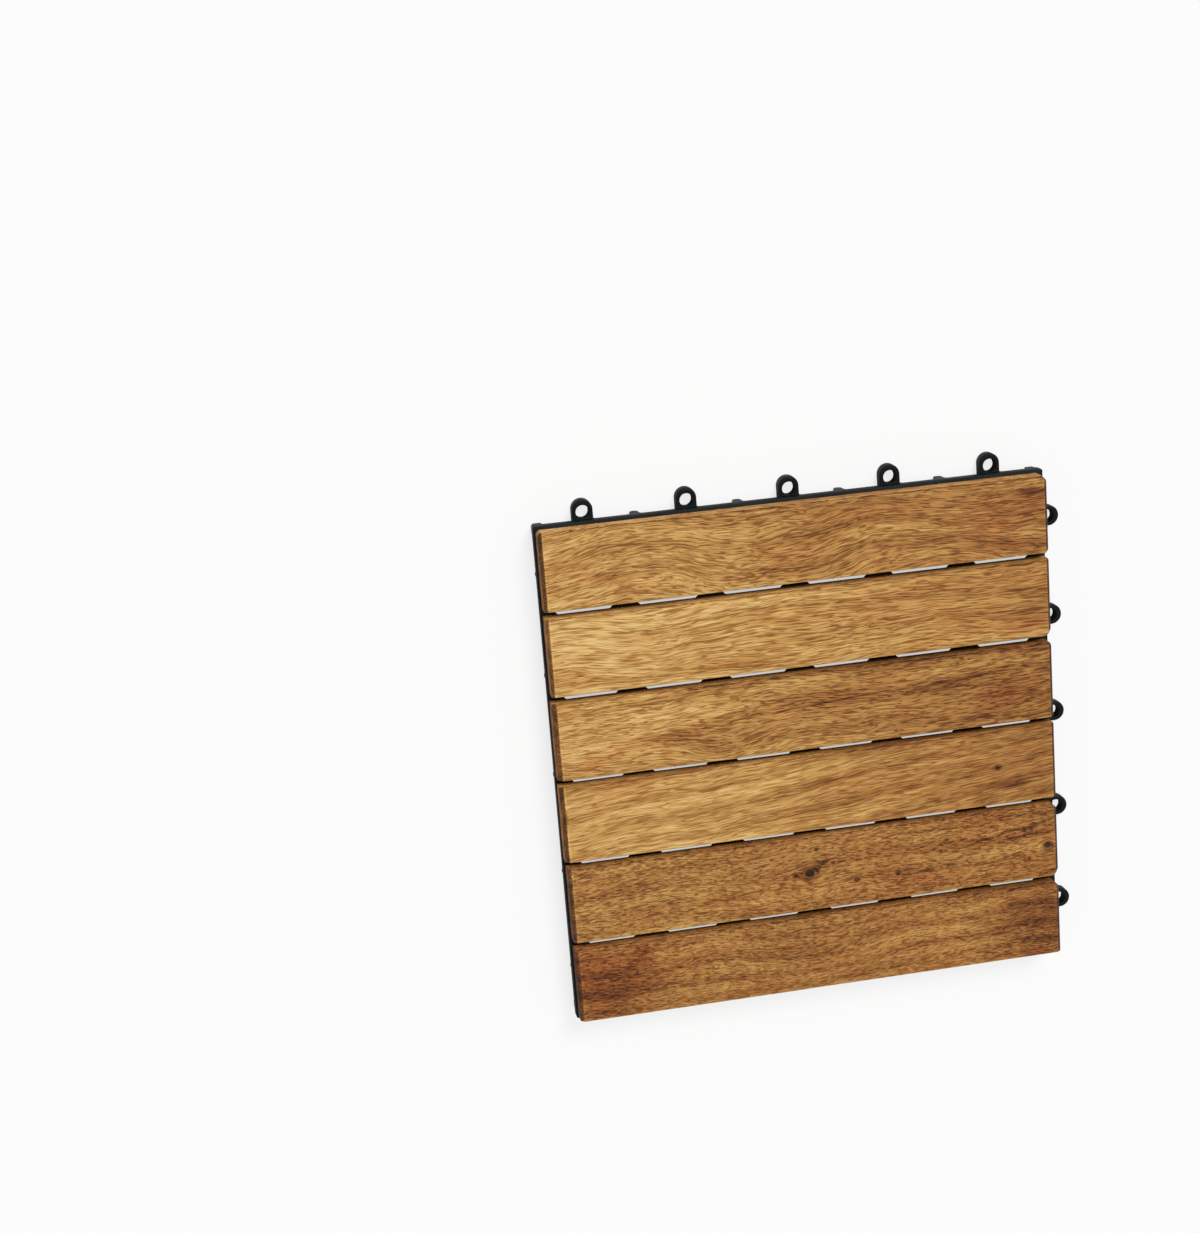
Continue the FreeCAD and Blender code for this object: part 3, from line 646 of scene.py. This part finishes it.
def hand_over(piece: bpy.types.Object, node: str, material: bpy.types.Material) -> None:
    """Shade a piece smooth, dress it and let it stand for its node.

    Args:
        piece: The finished piece.
        node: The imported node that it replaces.
        material: Its material.
    """
    mesh = piece.data
    mesh.polygons.foreach_set("use_smooth", np.ones(len(mesh.polygons), bool))
    mesh.materials.clear()
    mesh.materials.append(material)
    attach(piece, BODY)
    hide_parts(node)
    LOG.info("%s stands for %s with %d faces", piece.name, node, len(piece.data.polygons))


def soft_ramp(value: np.ndarray, softness: float) -> np.ndarray:
    """Bend softly from 0, where the value is below 0, to the value itself, where it is above."""
    return softness * np.logaddexp(0, value / softness)


def bell(value: np.ndarray, middle: float, width: float) -> np.ndarray:
    """Rise to 1 where the value is at its middle, and fall off as a bell does on both sides."""
    return np.exp(-((value - middle) / width) ** 2)


@dataclass(frozen=True)
class Slat:
    """One slat, with the small differences that a hand saw and sander leave.

    left_bevel and right_bevel are the widths of the bevels at its ends, wave is how far the left
    bevel wanders, and cuts names the corners that are cut back and by how much. top_round is the
    radius of its upper edges, low_round and low_back those of its lower front and back edges.
    left_stain and right_stain are how dark the oil has left its bevels. end_round is the radius where
    an end meets the sides, and bevel_bend and cut_bend are how softly a bevel and a cut begin. The
    left bevel's wander fades out over fade_length. dish is how deep the sander dishes the top on
    average, and side_dish the share that it takes off the sides. stations are the distances from each
    end that have a section, with one about every middle_step between them. A section has arc_points
    on each round and side_points between two rounds.
    """

    number: int
    wood: OiledAcacia
    left_bevel: float
    right_bevel: float = 2.0
    wave: float = 0.0
    cuts: tuple[tuple[End, Side, float], ...] = ()
    top_round: float = 1.4
    low_round: float = 2.6
    low_back: float = 2.6
    left_stain: float = 0.8
    right_stain: float = 0.8
    end_round: float = 0.35
    bevel_bend: float = 0.07
    cut_bend: float = 0.25
    fade_length: float = 6.0
    dish: float = 0.07
    side_dish: float = 0.0022
    arc_points: int = 9
    side_points: int = 12
    middle_step: float = 3.2
    stations: tuple[float, ...] = (0, .05, .12, .22, .35, .6, .9, 1.2, 1.5, 1.8, 2.1, 2.4, 2.7, 3,
                                   3.4, 4, 5, 7, 10)

    @property
    def node(self) -> str:
        """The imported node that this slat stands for."""
        return f"slat_{self.number}"

    def build(self) -> bpy.types.Object:
        """Build the slat's mesh and mark where the sander went through, where its bevels are stained and
        where its edges carry painted highlight and painted shade.

        The section is a rectangle with round corners. It is carried along X, lowered towards the
        ends by the bevels, narrowed by the corner cuts, and closed by shrinking it to its middle.

        Returns:
            The slat, dressed and in place.
        """
        low, high = (np.array(corner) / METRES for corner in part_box(self.node))
        length, width, height = high - low
        near = np.array(self.stations)
        middle = np.linspace(near[-1], length - near[-1], int(length / self.middle_step))[1:-1]
        from_left = np.concatenate([near, middle, length - near[::-1]])[:, None]
        from_right = length - from_left
        inset = np.maximum(self.rounding(from_left), self.rounding(from_right))
        back, front = (width / 2 - self.cut(from_left, from_right, side) - inset
                       for side in (Side.BACK, Side.FRONT))
        y, z = self.section(back, front, inset, height)
        x = low[0] + from_left + np.zeros_like(y)
        left = self.left_bevel + self.left_bevel * self.wave * self.ripple(y)
        shift = (z / height) ** 2 * (left - self.left_bevel)
        x = x + shift * self.fading(from_left, self.left_bevel)
        drop = self.bevel(from_left / self.left_bevel) * left
        drop = drop + self.bevel(from_right / self.right_bevel) * self.right_bevel
        y, z = self.sanding(x, y, z * (1 - drop / height), height)
        points = np.stack([x, y + (low[1] + high[1]) / 2, z + low[2]], axis=-1)
        points = np.concatenate([self.cap(points[0])[::-1], points, self.cap(points[-1])])
        piece = mesh_from_grid(f"oiled_slat_{self.number}", points)
        self.mark_wear_and_painted_light(piece, low, high)
        hand_over(piece, self.node, self.wood.material(f"oiled_acacia_{self.number}"))
        return piece

    def rounding(self, distance: np.ndarray) -> np.ndarray:
        """Inset of the section near an end, a quarter circle of the end's own small rounding."""
        left = np.clip(self.end_round - distance, 0, None)
        return self.end_round - np.sqrt(self.end_round ** 2 - left ** 2)

    def ripple(self, y: np.ndarray) -> np.ndarray:
        """Wander of a bevel across the slat: a long sine and a short one of less height."""
        return np.sin(y / 5.1 + 0.8) + 0.4 * np.sin(y / 2.3)

    def bevel(self, share: np.ndarray) -> np.ndarray:
        """Drop of the top near an end: 1 at the end and 0 inside the bevel, with a soft arris."""
        return soft_ramp(1 - share, self.bevel_bend)

    def fading(self, distance: np.ndarray, width: float) -> np.ndarray:
        """A hat: 0 at the end, 1 at the bevel's inner edge and 0 again fade_length further in."""
        rise = np.clip(distance / width, 0, 1)
        return rise * np.clip(1 - (distance - width) / self.fade_length, 0, 1)

    def cut(self, from_left: np.ndarray, from_right: np.ndarray, side: Side) -> np.ndarray:
        """Work out how much the corner cuts take off one side along the slat, at 45 degrees.

        Args:
            from_left: The distances from the left end.
            from_right: The distances from the right end.
            side: The side.

        Returns:
            The cut at each distance.
        """
        taken = np.zeros_like(from_left)
        for end, place, size in self.cuts:
            if place is side:
                distance = from_left if end is End.LEFT else from_right
                taken = np.maximum(taken, soft_ramp(size - distance, self.cut_bend))
        return taken

    def section(self, back: np.ndarray, front: np.ndarray, inset: np.ndarray, height: float) -> tuple:
        """Work out the rounded section at every station.

        Each corner is an arc and each side a straight run between two arcs.

        Args:
            back: The half width on the back side, one row for each station.
            front: The half width on the front side.
            inset: How far the section is drawn in at each station.
            height: The slat's thickness.

        Returns:
            The y and z of every point, z from the underside.
        """
        turns = np.linspace(0, math.pi / 2, self.arc_points)
        share = np.linspace(0, 1, self.side_points + 2)[1:-1, None]
        corners = ((back, 1, self.top_round), (-front, 1, self.top_round),
                   (-front, 0, self.low_round), (back, 0, self.low_back))
        arcs = []
        for number, (side, top, radius) in enumerate(corners):
            angle = turns + number * math.pi / 2
            toward_y = 1 if number in (0, 3) else -1
            centre_z = height - inset - radius if top else inset + radius
            arcs.append(np.stack([side - toward_y * radius + radius * np.cos(angle),
                                  centre_z + radius * np.sin(angle)], axis=-1))
        rows = []
        for arc, following in zip(arcs, arcs[1:] + arcs[:1]):
            rows += [arc, arc[:, -1:] * (1 - share) + following[:, :1] * share]
        outline = np.concatenate(rows, axis=1)
        return outline[..., 0], outline[..., 1]

    def sanding(self, x: np.ndarray, y: np.ndarray, z: np.ndarray, height: float) -> tuple:
        """Dish the top by 0.01 to 0.14 mm and the sides by up to 0.1 mm, as a belt sander does.

        The depth is dish plus a sum of long sine waves along and across the slat, and 0 on the
        underside.

        Args:
            x: Places along the slat.
            y: Places across it.
            z: Heights from its underside.
            height: Its thickness.

        Returns:
            The new y and z.
        """
        draw = np.random.default_rng(100 + self.number)
        lengths = (170.0, 96.0, 53.0, 31.0)
        wave = np.zeros_like(x)
        for length in lengths:
            phase, lean = draw.uniform(0, 6.28), draw.uniform(-0.05, 0.05)
            wave = wave + np.sin(2 * math.pi * x / length + lean * y + phase) / len(lengths)
        upper = np.clip(z / height, 0, 1)
        y = y * (1 - upper * self.side_dish * (1 + wave))
        return y, z - upper ** 4 * self.dish * (1 + wave)

    def cap(self, ring: np.ndarray) -> np.ndarray:
        """Close an end with rings that shrink to the middle of its last section."""
        middle = ring.mean(axis=0)
        return middle + (ring - middle) * np.array([0.94, 0.8, 0.6, 0.4, 0.2, 0.0])[:, None, None]

    def mark_wear_and_painted_light(self, piece: bpy.types.Object, low: np.ndarray, high: np.ndarray) -> None:
        """Mark where the slat is pale, above 0, and where it is dark, below 0.

        The front arris is pale, where the sander has gone through the oiled skin. The bevels' inner
        edges are pale, partly from the same wear and partly as a painted highlight along the arris. The
        dark line along the back arris is painted shade, the shadow of the gap between the slats. Each of
        these marks is a narrow bell, where the depth below the top and the distance from the side or
        from the bevel's edge are both small. The bevels' own slopes are stained.

        Args:
            piece: The slat.
            low: Its lowest corner.
            high: Its highest corner.
        """
        places = np.empty(len(piece.data.vertices) * 3)
        piece.data.vertices.foreach_get("co", places)
        x, y, z = places.reshape(-1, 3).T / METRES
        depth = high[2] - z
        front = bell(depth, 0.4, 0.5) * bell(y - low[1], 0.5, 0.7)
        # Back arris: a dark line of painted shade, the shadow of the gap.
        back = bell(depth, 0.25, 0.45) * bell(high[1] - y, 0.6, 0.6)
        # Bevels' inner edges, left and right: pale, partly wear and partly painted highlight.
        left = bell(x - low[0], self.left_bevel, 0.55) * bell(depth, 0, 0.8)
        right = bell(high[0] - x, self.right_bevel, 0.45) * bell(depth, 0, 0.8)
        mark = np.clip(0.7 * front + 0.7 * left + 0.4 * right, 0, 1) - 0.9 * back
        blur = 0.3
        for distance, width, stain in ((x - low[0], self.left_bevel, self.left_stain),
                                       (high[0] - x, self.right_bevel, self.right_stain)):
            within = np.clip((width - distance) / blur, 0, 1)
            mark = mark - stain * within * np.clip((width - depth) / blur + 0.5, 0, 1)
        # Stored per point: wear, stains, painted highlight and painted shade.
        layer = piece.data.attributes.new("wear_stain_and_painted_light", "FLOAT", "POINT")
        layer.data.foreach_set("value", mark.astype(np.float32))


@dataclass(frozen=True)
class Deck:
    """The six slats, counted from the back, each with its own figure.

    large_cut and small_cut are the two sizes of cut corner.
    """

    large_cut: float = 3.4
    small_cut: float = 1.6

    def slats(self) -> tuple[Slat, ...]:
        """Give the slats their woods, bevels and cut corners.

        Returns:
            The slats, from the back to the front.
        """
        large, small = self.large_cut, self.small_cut
        large_back, small_back = (End.RIGHT, Side.BACK, large), (End.RIGHT, Side.BACK, small)
        large_front, small_front = (End.RIGHT, Side.FRONT, large), (End.RIGHT, Side.FRONT, small)
        left_back = (End.LEFT, Side.BACK, small)
        return (
            Slat(1, self.wood_1(), 2.2, left_stain=0.95, cuts=(large_back, small_front, left_back)),
            Slat(2, self.wood_2(), 2.0, low_back=1.2, left_stain=0.80, cuts=(large_front,)),
            Slat(3, self.wood_3(), 2.8, low_back=2.2, left_stain=0.70, cuts=(small_back,)),
            Slat(4, self.wood_4(), 2.6, wave=0.22, left_stain=1.0),
            Slat(5, self.wood_5(), 2.2, low_back=3.6, left_stain=0.35, cuts=(large_back, large_front)),
            Slat(6, self.wood_6(), 2.4, low_back=4.2, left_stain=-0.15, right_stain=0.3,
                 cuts=(large_back,)))

    def wood_1(self) -> OiledAcacia:
        """Grain that climbs at the left, meets in a reddish valley and ends in a purple smudge."""
        return OiledAcacia(
            seed=1, level=0.72, fade=-0.00062, sway=22.0, curl=3.5,
            swells=(Swell(-92, 128, 72, 60, 8), Swell(66, 118, 74, 60, 6)),
            clouds=(Cloud(-80, 125, 140, 60, 0.025, -0.35), Cloud(138, 139, 13, 4, -0.24, 0.7),
                    Cloud(-4, 120, 34, 13, -0.06, 0.6), Cloud(-112, 118, 24, 6, -0.10, 0.5),
                    Cloud(-138, 132, 9, 8, -0.07, 0.4), Cloud(118, 122, 42, 20, -0.03, 0.5)))

    def wood_2(self) -> OiledAcacia:
        """The palest slat, with long, nearly level grain and a few reddish patches."""
        return OiledAcacia(
            seed=2, grain=28.0, level=0.82, fade=-0.00068, sway=16.0, curl=3.0, heart_y=20.0,
            swells=(Swell(-95, 78, 46, 36, -4),),
            clouds=(Cloud(-80, 75, 150, 60, 0.035, -0.40), Cloud(-102, 68, 14, 4, -0.12, 0.8),
                    Cloud(-45, 60, 30, 6, -0.07, 0.6), Cloud(60, 88, 26, 5, -0.08, 0.4),
                    Cloud(128, 62, 26, 9, -0.05, 0.6)))

    def wood_3(self) -> OiledAcacia:
        """A flame whose tip lies left of the middle, with a thin dark line along its upper edge."""
        return OiledAcacia(
            seed=3, grain=18.0, level=0.70, fade=-0.00095, sway=12.0, curl=3.5, heart_y=21.0,
            heart_z=6.0, heart_tilt=-0.035, ring=0.13,
            swells=(Swell(-46, 6, 50, 36, -6),),
            clouds=(Cloud(-80, 25, 130, 60, 0.03, -0.25), Cloud(-88, 20, 44, 7, -0.14, 0.5, 0.03),
                    Cloud(16, 29.5, 64, 0.9, -0.34, 0.2, 0.07), Cloud(96, 33, 30, 2.2, -0.20, 0.4, 0.08),
                    Cloud(-10, 10, 46, 0.9, -0.16, 0.2, -0.20), Cloud(116, 18, 34, 12, -0.10, 0.7),
                    Cloud(-128, 10, 14, 5, -0.10, 0.6)))

    def wood_4(self) -> OiledAcacia:
        """Straight grain that climbs to the right, with a black dot and a brown streak at that end."""
        return OiledAcacia(
            seed=4, grain=24.0, pores=0.28, level=0.72, fade=-0.00085, lean=0.085, sway=12.0, curl=3.0,
            knots=(Knot(112.4, -24.8, 1.3, 1.0, 0.4),),
            clouds=(Cloud(-90, -25, 150, 60, 0.05, -0.45),
                    Cloud(119, -36, 22, 5, -0.24, 0.7, ragged=0.6), Cloud(-104, -9, 22, 8, -0.08, 0.5),
                    Cloud(30, -17, 70, 1.0, -0.14, 0.2, 0.10), Cloud(128, -14, 26, 7, -0.05, 0.6)))

    def wood_5(self) -> OiledAcacia:
        """The knotty slat: a black knot near the middle and an eye and a ring near the right end."""
        return OiledAcacia(
            seed=5, grain=9.0, level=0.63, fade=-0.00020, red=0.35, sway=12.0, curl=2.4, pores=0.33,
            knots=(Knot(-5.4, -74.6, 2.8, 0.95), Knot(-14, -75, 0.9), Knot(-0.6, -60.2, 1.0),
                   Knot(121, -67.6, 0.8, 0.4, 0.4), Knot(142, -77.8, 2.2, 0.85), Knot(48.4, -82.4, 1.0),
                   Knot(23, -82.6, 0.9, 0.6), Knot(79.4, -66, 1.2, 0.45, 0.6), Knot(130, -85, 0.9, 0.6)),
            clouds=(Cloud(-110, -75, 110, 60, 0.015, -0.40), Cloud(-138, -57, 9, 2.6, -0.32, ragged=0.5),
                    Cloud(-56, -84, 24, 6, -0.15, 0.7), *self.eye(),
                    Cloud(1, -71, 8, 4, -0.34, -0.4, 0.4, ragged=0.4),
                    Cloud(62, -88, 34, 7, -0.06, 0.4), Cloud(-112, -68, 40, 7, -0.05, 0.3)))

    def eye(self) -> tuple[Cloud, ...]:
        """The eye of the knotty slat: its pale middle, two lids, a tail and streaks to the right."""
        return (Cloud(121, -67.6, 6, 2.6, 0.14, 0.45, ragged=0.2),
                Cloud(120, -65.1, 12, 1.8, -0.38, 0.0, 0.06, -0.03, 0.2),
                Cloud(122, -70.2, 11, 1.7, -0.34, 0.1, -0.01, 0.03, 0.2),
                Cloud(101, -68.8, 18, 1.5, -0.28, 0.2, 0.03, 0.01, 0.3),
                Cloud(137, -63.2, 16, 2.4, -0.35, -0.3, 0.27, ragged=0.3),
                Cloud(130, -65.0, 9, 3.0, -0.14, -0.5, 0.2, ragged=0.5),
                Cloud(135, -69.0, 12, 1.7, -0.26, 0.2, -0.05, ragged=0.3))

    def wood_6(self) -> OiledAcacia:
        """Darker, finer wood with red-brown ends and a pale middle."""
        return OiledAcacia(
            seed=6, grain=8.5, level=0.615, fade=-0.00005, red=0.3, sway=18.0, curl=3.0, pores=0.29,
            swells=(Swell(0, -116, 80, 50, -7),),
            clouds=(Cloud(-130, -126, 46, 34, -0.24, 0.9), Cloud(136, -130, 44, 34, -0.26, 0.5),
                    Cloud(121, -111, 15, 4.5, -0.16, 0.2), Cloud(101, -141, 9, 1.2, -0.24, 0.2, -0.2),
                    Cloud(-112, -112, 18, 10, -0.08, 0.5)))


@dataclass(frozen=True)
class MouldedGrid:
    """The one-piece plastic grid that carries the slats and clips to the next tile.

    Points closer than weld are merged, and faces that meet at less than flat degrees are joined. edge
    is the radius of the edges, and sharp the least angle in degrees that counts as one. most_sides is
    the most corners that a flat face may keep.
    """

    node: str = "base_grid"
    weld: float = 0.002
    flat: float = 0.4
    edge: float = 0.25
    sharp: float = 30.0
    most_sides: int = 24
    plastic: MouldedPolypropylene = MouldedPolypropylene()

    def build(self) -> None:
        """Soften every edge of the grid by the small radius that a moulding tool has.

        Flat faces are joined first, so that no bevel starts from a seam between two triangles. A face
        that runs round an opening is cut into triangles again, as a bevel can turn it inside out.
        """
        work = bmesh.new()
        work.from_mesh(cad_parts[self.node].data)
        bmesh.ops.remove_doubles(work, verts=work.verts, dist=self.weld * METRES)
        bmesh.ops.dissolve_limit(work, angle_limit=math.radians(self.flat), verts=work.verts,
                                 edges=work.edges)
        bmesh.ops.triangulate(work, faces=[face for face in work.faces
                                           if len(face.verts) > self.most_sides])
        mesh = bpy.data.meshes.new("moulded_grid")
        work.to_mesh(mesh)
        work.free()
        piece = into_scene(mesh.name, mesh)
        bevel = piece.modifiers.new("tool_radius", "BEVEL")
        bevel.width = self.edge * METRES
        bevel.segments = 2
        bevel.limit_method = "ANGLE"
        bevel.angle_limit = math.radians(self.sharp)
        bevel.use_clamp_overlap = False
        bevel.harden_normals = False
        hand_over(piece, self.node, self.plastic.material("moulded_polypropylene"))


@dataclass(frozen=True)
class PanScrews:
    """The pan-head screws of one slat, driven up through the grid from below.

    The head is head_height high, of which its dome takes up dome. The thread rises from core_radius
    to crest_radius and climbs one pitch a turn. It begins thread_start from the crown, grows over
    thread_run and ends in a point that is tip long. The recess is recess deep at its middle: a round
    hub and four arms, which are arm wide on each side of their middle and end at arm_reach. steps are
    the places of the points on a quarter turn, in ninths, of which the first and the last are half an
    arm each. crown holds the radii of the rings on the dome, and the shank has rings of its own.
    """

    slat: int
    head_radius: float = 3.4
    core_radius: float = 1.3
    crest_radius: float = 1.75
    pitch: float = 1.6
    head_height: float = 2.0
    dome: float = 0.8
    thread_start: float = 2.6
    thread_run: float = 0.8
    tip: float = 3.0
    hub: float = 0.7
    arm: float = 0.5
    arm_reach: float = 1.9
    recess: float = 1.2
    count: int = 3
    rings: int = 64
    steps: tuple[float, ...] = (0, .5, .94, 1.06, 2.3, 3.5, 4.7, 5.9, 7.1, 7.94, 8.06, 8.5)
    crown: tuple[float, ...] = (0.02, .35, .66, .74, 1.1, 1.5, 1.84, 1.94, 2.3, 2.7, 3.05, 3.28, 3.4)

    @property
    def node(self) -> str:
        """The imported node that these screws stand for."""
        return f"screws_slat_{self.slat}"

    def build(self, steel: bpy.types.Material) -> None:
        """Build the row of screws and put it in place of its node.

        Args:
            steel: The screws' material.
        """
        low, high = (np.array(corner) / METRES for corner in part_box(self.node))
        points = self.one(high[2] - low[2])
        middle_y = (low[1] + high[1]) / 2
        spread = np.linspace(low[0] + self.head_radius, high[0] - self.head_radius, self.count)
        joined = bmesh.new()
        for number, x in enumerate(spread):
            screw = mesh_from_grid(f"pan_screw_{self.slat}_{number}",
                                   points + np.array([x, middle_y, low[2]]))
            joined.from_mesh(screw.data)
            bpy.data.objects.remove(screw)
        mesh = bpy.data.meshes.new(f"pan_screws_{self.slat}")
        joined.to_mesh(mesh)
        joined.free()
        hand_over(into_scene(mesh.name, mesh), self.node, steel)

    def one(self, height: float) -> np.ndarray:
        """Work out one screw with its head down, as rings of points from the crown to the tip.

        Args:
            height: The screw's whole length.

        Returns:
            Rows, columns and three coordinates, with z from 0 at the crown.
        """
        head, even = self.head()
        body = self.shank(height, even)
        middle = head[:1].mean(axis=1, keepdims=True)
        return np.concatenate([np.repeat(middle, len(even), axis=1), head, body])

    def head(self) -> tuple[np.ndarray, np.ndarray]:
        """Work out the head, a low dome with a cross sunk into it.

        The dome's height is a power of the radius. The columns follow the arms' sides: in an arm their
        angle grows with the arc sine of the arm's half width over the radius, and evenly outside it.

        Returns:
            The head's rings, and the angle of each column at its rim.
        """
        column = (np.arange(4)[:, None] + np.array(self.steps)[None, :] / 9).ravel()
        crown = np.array(self.crown)
        radius = np.concatenate([crown, np.full(3, self.head_radius), [self.crest_radius]])
        level = np.concatenate([self.dome * (crown / self.head_radius) ** 2.6,
                                self.head_height * np.array([0.6, 0.85, 1, 1])])
        opening = np.arcsin(np.clip(self.arm / np.maximum(radius, 1e-3), 0, 0.62))[:, None]
        quarter, part = np.divmod(column, 1.0)
        ninth = np.minimum(part, 1 - part) * 9
        outer = opening + (ninth - 1) / 3.5 * (math.pi / 4 - opening)
        turn = np.where(ninth <= 1, ninth * opening, outer)
        turn = np.where(part <= 0.5, turn, math.pi / 2 - turn) + quarter * math.pi / 2
        in_arm = (ninth < 1)[None, :] & (radius < self.arm_reach)[:, None]
        sunk = in_arm | (radius < self.hub)[:, None]
        depth = self.recess * (1 - 0.25 * np.clip(radius / self.arm_reach, 0, 1))[:, None]
        z = level[:, None] + np.where(sunk & (np.arange(len(radius)) < len(crown))[:, None], depth, 0)
        radius = radius[:, None]
        return np.stack([radius * np.cos(turn), radius * np.sin(turn), z], axis=-1), turn[-1]

    def shank(self, height: float, even: np.ndarray) -> np.ndarray:
        """Work out the shank, a circle whose radius rises in a ridge that climbs one pitch a turn.

        Args:
            height: The screw's whole length.
            even: The angle of each column.

        Returns:
            The shank's rings.
        """
        z = np.linspace(self.head_height, height, self.rings)[:, None]
        climb = z / self.pitch - even / (2 * math.pi)
        ridge = np.clip(1 - 3.2 * np.abs(climb - np.floor(climb) - 0.5), 0, 1)
        threaded = np.clip((z - self.thread_start) / self.thread_run, 0, 1)
        rise = np.where(threaded < 1, 1 - threaded * (1 - ridge), ridge)
        point = np.clip((height - z) / self.tip, 0, 1) ** 0.8
        reach = (self.core_radius + (self.crest_radius - self.core_radius) * rise) * point
        return np.stack([reach * np.cos(even), reach * np.sin(even), z + 0 * reach], axis=-1)


@dataclass(frozen=True)
class Studio:
    """The white floor, the soft lamps and the camera.

    The camera's place and aim are in millimetres and its roll in degrees. view_limit, floor_side and
    the floor's distances are in metres. under_tile and beside_tile are each a distance from the
    middle and the share of pure white that the camera sees there, and between the two distances of
    fade_out the floor turns all white. fill is the strength of the even light and key that of the
    lamp, which shines from key_from and is key_angle degrees wide.
    """

    camera_place: Sizes = (-296.73, 411.03, 1218.62)
    camera_aim: Sizes = (-117.5, 96.56, 24.0)
    camera_roll: float = 4.758
    lens: float = 66.437
    sensor: float = 36.0
    view_limit: float = 20.0
    floor_side: float = 8.0
    floor_colour: str = "#F2F2F0"
    under_tile: tuple[float, float] = (0.140, 0.58)
    beside_tile: tuple[float, float] = (0.152, 0.80)
    fade_out: tuple[float, float] = (0.5, 1.6)
    fill: float = 0.50
    key: float = 2.0
    key_from: Sizes = (0.35, 0.75, 0.95)
    key_angle: float = 22.0

    def build(self) -> None:
        """Set up the floor, the world, the lamps and the camera."""
        self.lay_floor()
        self.light()
        self.place_camera()
        bpy.context.scene.view_settings.view_transform = "Standard"

    def lay_floor(self) -> None:
        """Lay a white floor that the camera sees as white, with a faint shadow of the tile.

        Right below the tile, where the floor shows through the slots, the camera sees less of the pure
        white.
        This makes the floor there darker as painted shade, on top of its real shadow. Far away the
        camera sees only pure white, where the floor meets the white world without a line.
        """
        half = self.floor_side / 2
        corners = [(-half, -half, 0), (half, -half, 0), (half, half, 0), (-half, half, 0)]
        mesh = bpy.data.meshes.new("floor")
        mesh.from_pydata(corners, [], [(0, 1, 2, 3)])
        floor = into_scene("floor", mesh)
        paper = bpy.data.materials.new("white_paper")
        g = Graph(paper)
        matt = g.add("BsdfDiffuse", {"Color": linear(self.floor_colour)})
        white = g.add("Emission", {"Color": linear(WHITE), "Strength": 1.0})
        place = g.add("VectorMath", {0: g.add("TexCoord", out="Object")}, operation="ABSOLUTE")
        apart = g.add("SeparateXYZ", {0: place}).node
        reach = g.add("Math", {0: apart.outputs[0], 1: apart.outputs[1]}, operation="MAXIMUM")
        # Painted shade: less pure white right below the tile than beside it.
        near = g.add("MapRange", {"Value": reach, "From Min": self.under_tile[0],
                                  "From Max": self.beside_tile[0], "To Min": self.under_tile[1],
                                  "To Max": self.beside_tile[1]})
        far = g.add("MapRange", {"Value": reach, "From Min": self.fade_out[0],
                                 "From Max": self.fade_out[1], "To Max": 1 - self.beside_tile[1]})
        share = g.add("Math", {0: near, 1: far}, operation="ADD")
        seen = g.add("Math", {0: g.add("LightPath", out="Is Camera Ray"), 1: share},
                     operation="MULTIPLY")
        g.add("OutputMaterial", {"Surface": g.add("MixShader", {0: seen, 1: matt, 2: white})})
        mesh.materials.append(paper)

    def light(self) -> None:
        """Light the tile by an even world and one large soft lamp from behind and to the right."""
        world = bpy.data.worlds.new("studio")
        bpy.context.scene.world = world
        g = Graph(world)
        rays = [g.add("LightPath", out=name)
                for name in ("Is Camera Ray", "Is Glossy Ray", "Is Transmission Ray")]
        seen = g.add("Math", {0: rays[0], 1: rays[1]}, operation="MAXIMUM")
        seen = g.add("Math", {0: seen, 1: rays[2]}, operation="MAXIMUM")
        fill, white = (g.add("Background", {"Color": linear(WHITE), "Strength": strength})
                       for strength in (self.fill, 1.0))
        g.add("OutputWorld", {"Surface": g.add("MixShader", {0: seen, 1: fill, 2: white})})
        lamp = bpy.data.lights.new("key", "SUN")
        lamp.energy = self.key
        lamp.angle = math.radians(self.key_angle)
        key = into_scene("key", lamp)
        key.matrix_world = Vector(self.key_from).to_track_quat("Z", "Y").to_matrix().to_4x4()

    def place_camera(self) -> None:
        """Stand the camera where the photograph was taken from, with its slight roll."""
        place, aim = Vector(self.camera_place), Vector(self.camera_aim)
        forward = (aim - place).normalized()
        up = (Vector((0.0, 1.0, 0.0)) - forward * forward.y).normalized()
        roll = math.radians(self.camera_roll)
        up = up * math.cos(roll) + forward.cross(up) * math.sin(roll)
        data = bpy.data.cameras.new("camera")
        data.lens = self.lens
        data.sensor_width = self.sensor
        data.sensor_fit = "HORIZONTAL"
        data.clip_end = self.view_limit
        camera = into_scene("camera", data)
        turned = Matrix((forward.cross(up), up, -forward)).transposed().to_4x4()
        camera.matrix_world = Matrix.Translation(place * METRES) @ turned
        bpy.context.scene.camera = camera


def main() -> None:
    """Build the studio and the tile, and report each piece."""
    logging.basicConfig(level=logging.INFO, format="%(name)s: %(message)s")
    Studio().build()
    slats = Deck().slats()
    for slat in slats:
        slat.build()
    MouldedGrid().build()
    steel = ZincPlatedSteel().material("zinc_plated_steel")
    for slat in slats:
        PanScrews(slat.number).build(steel)


if __name__ == "__main__":
    main()
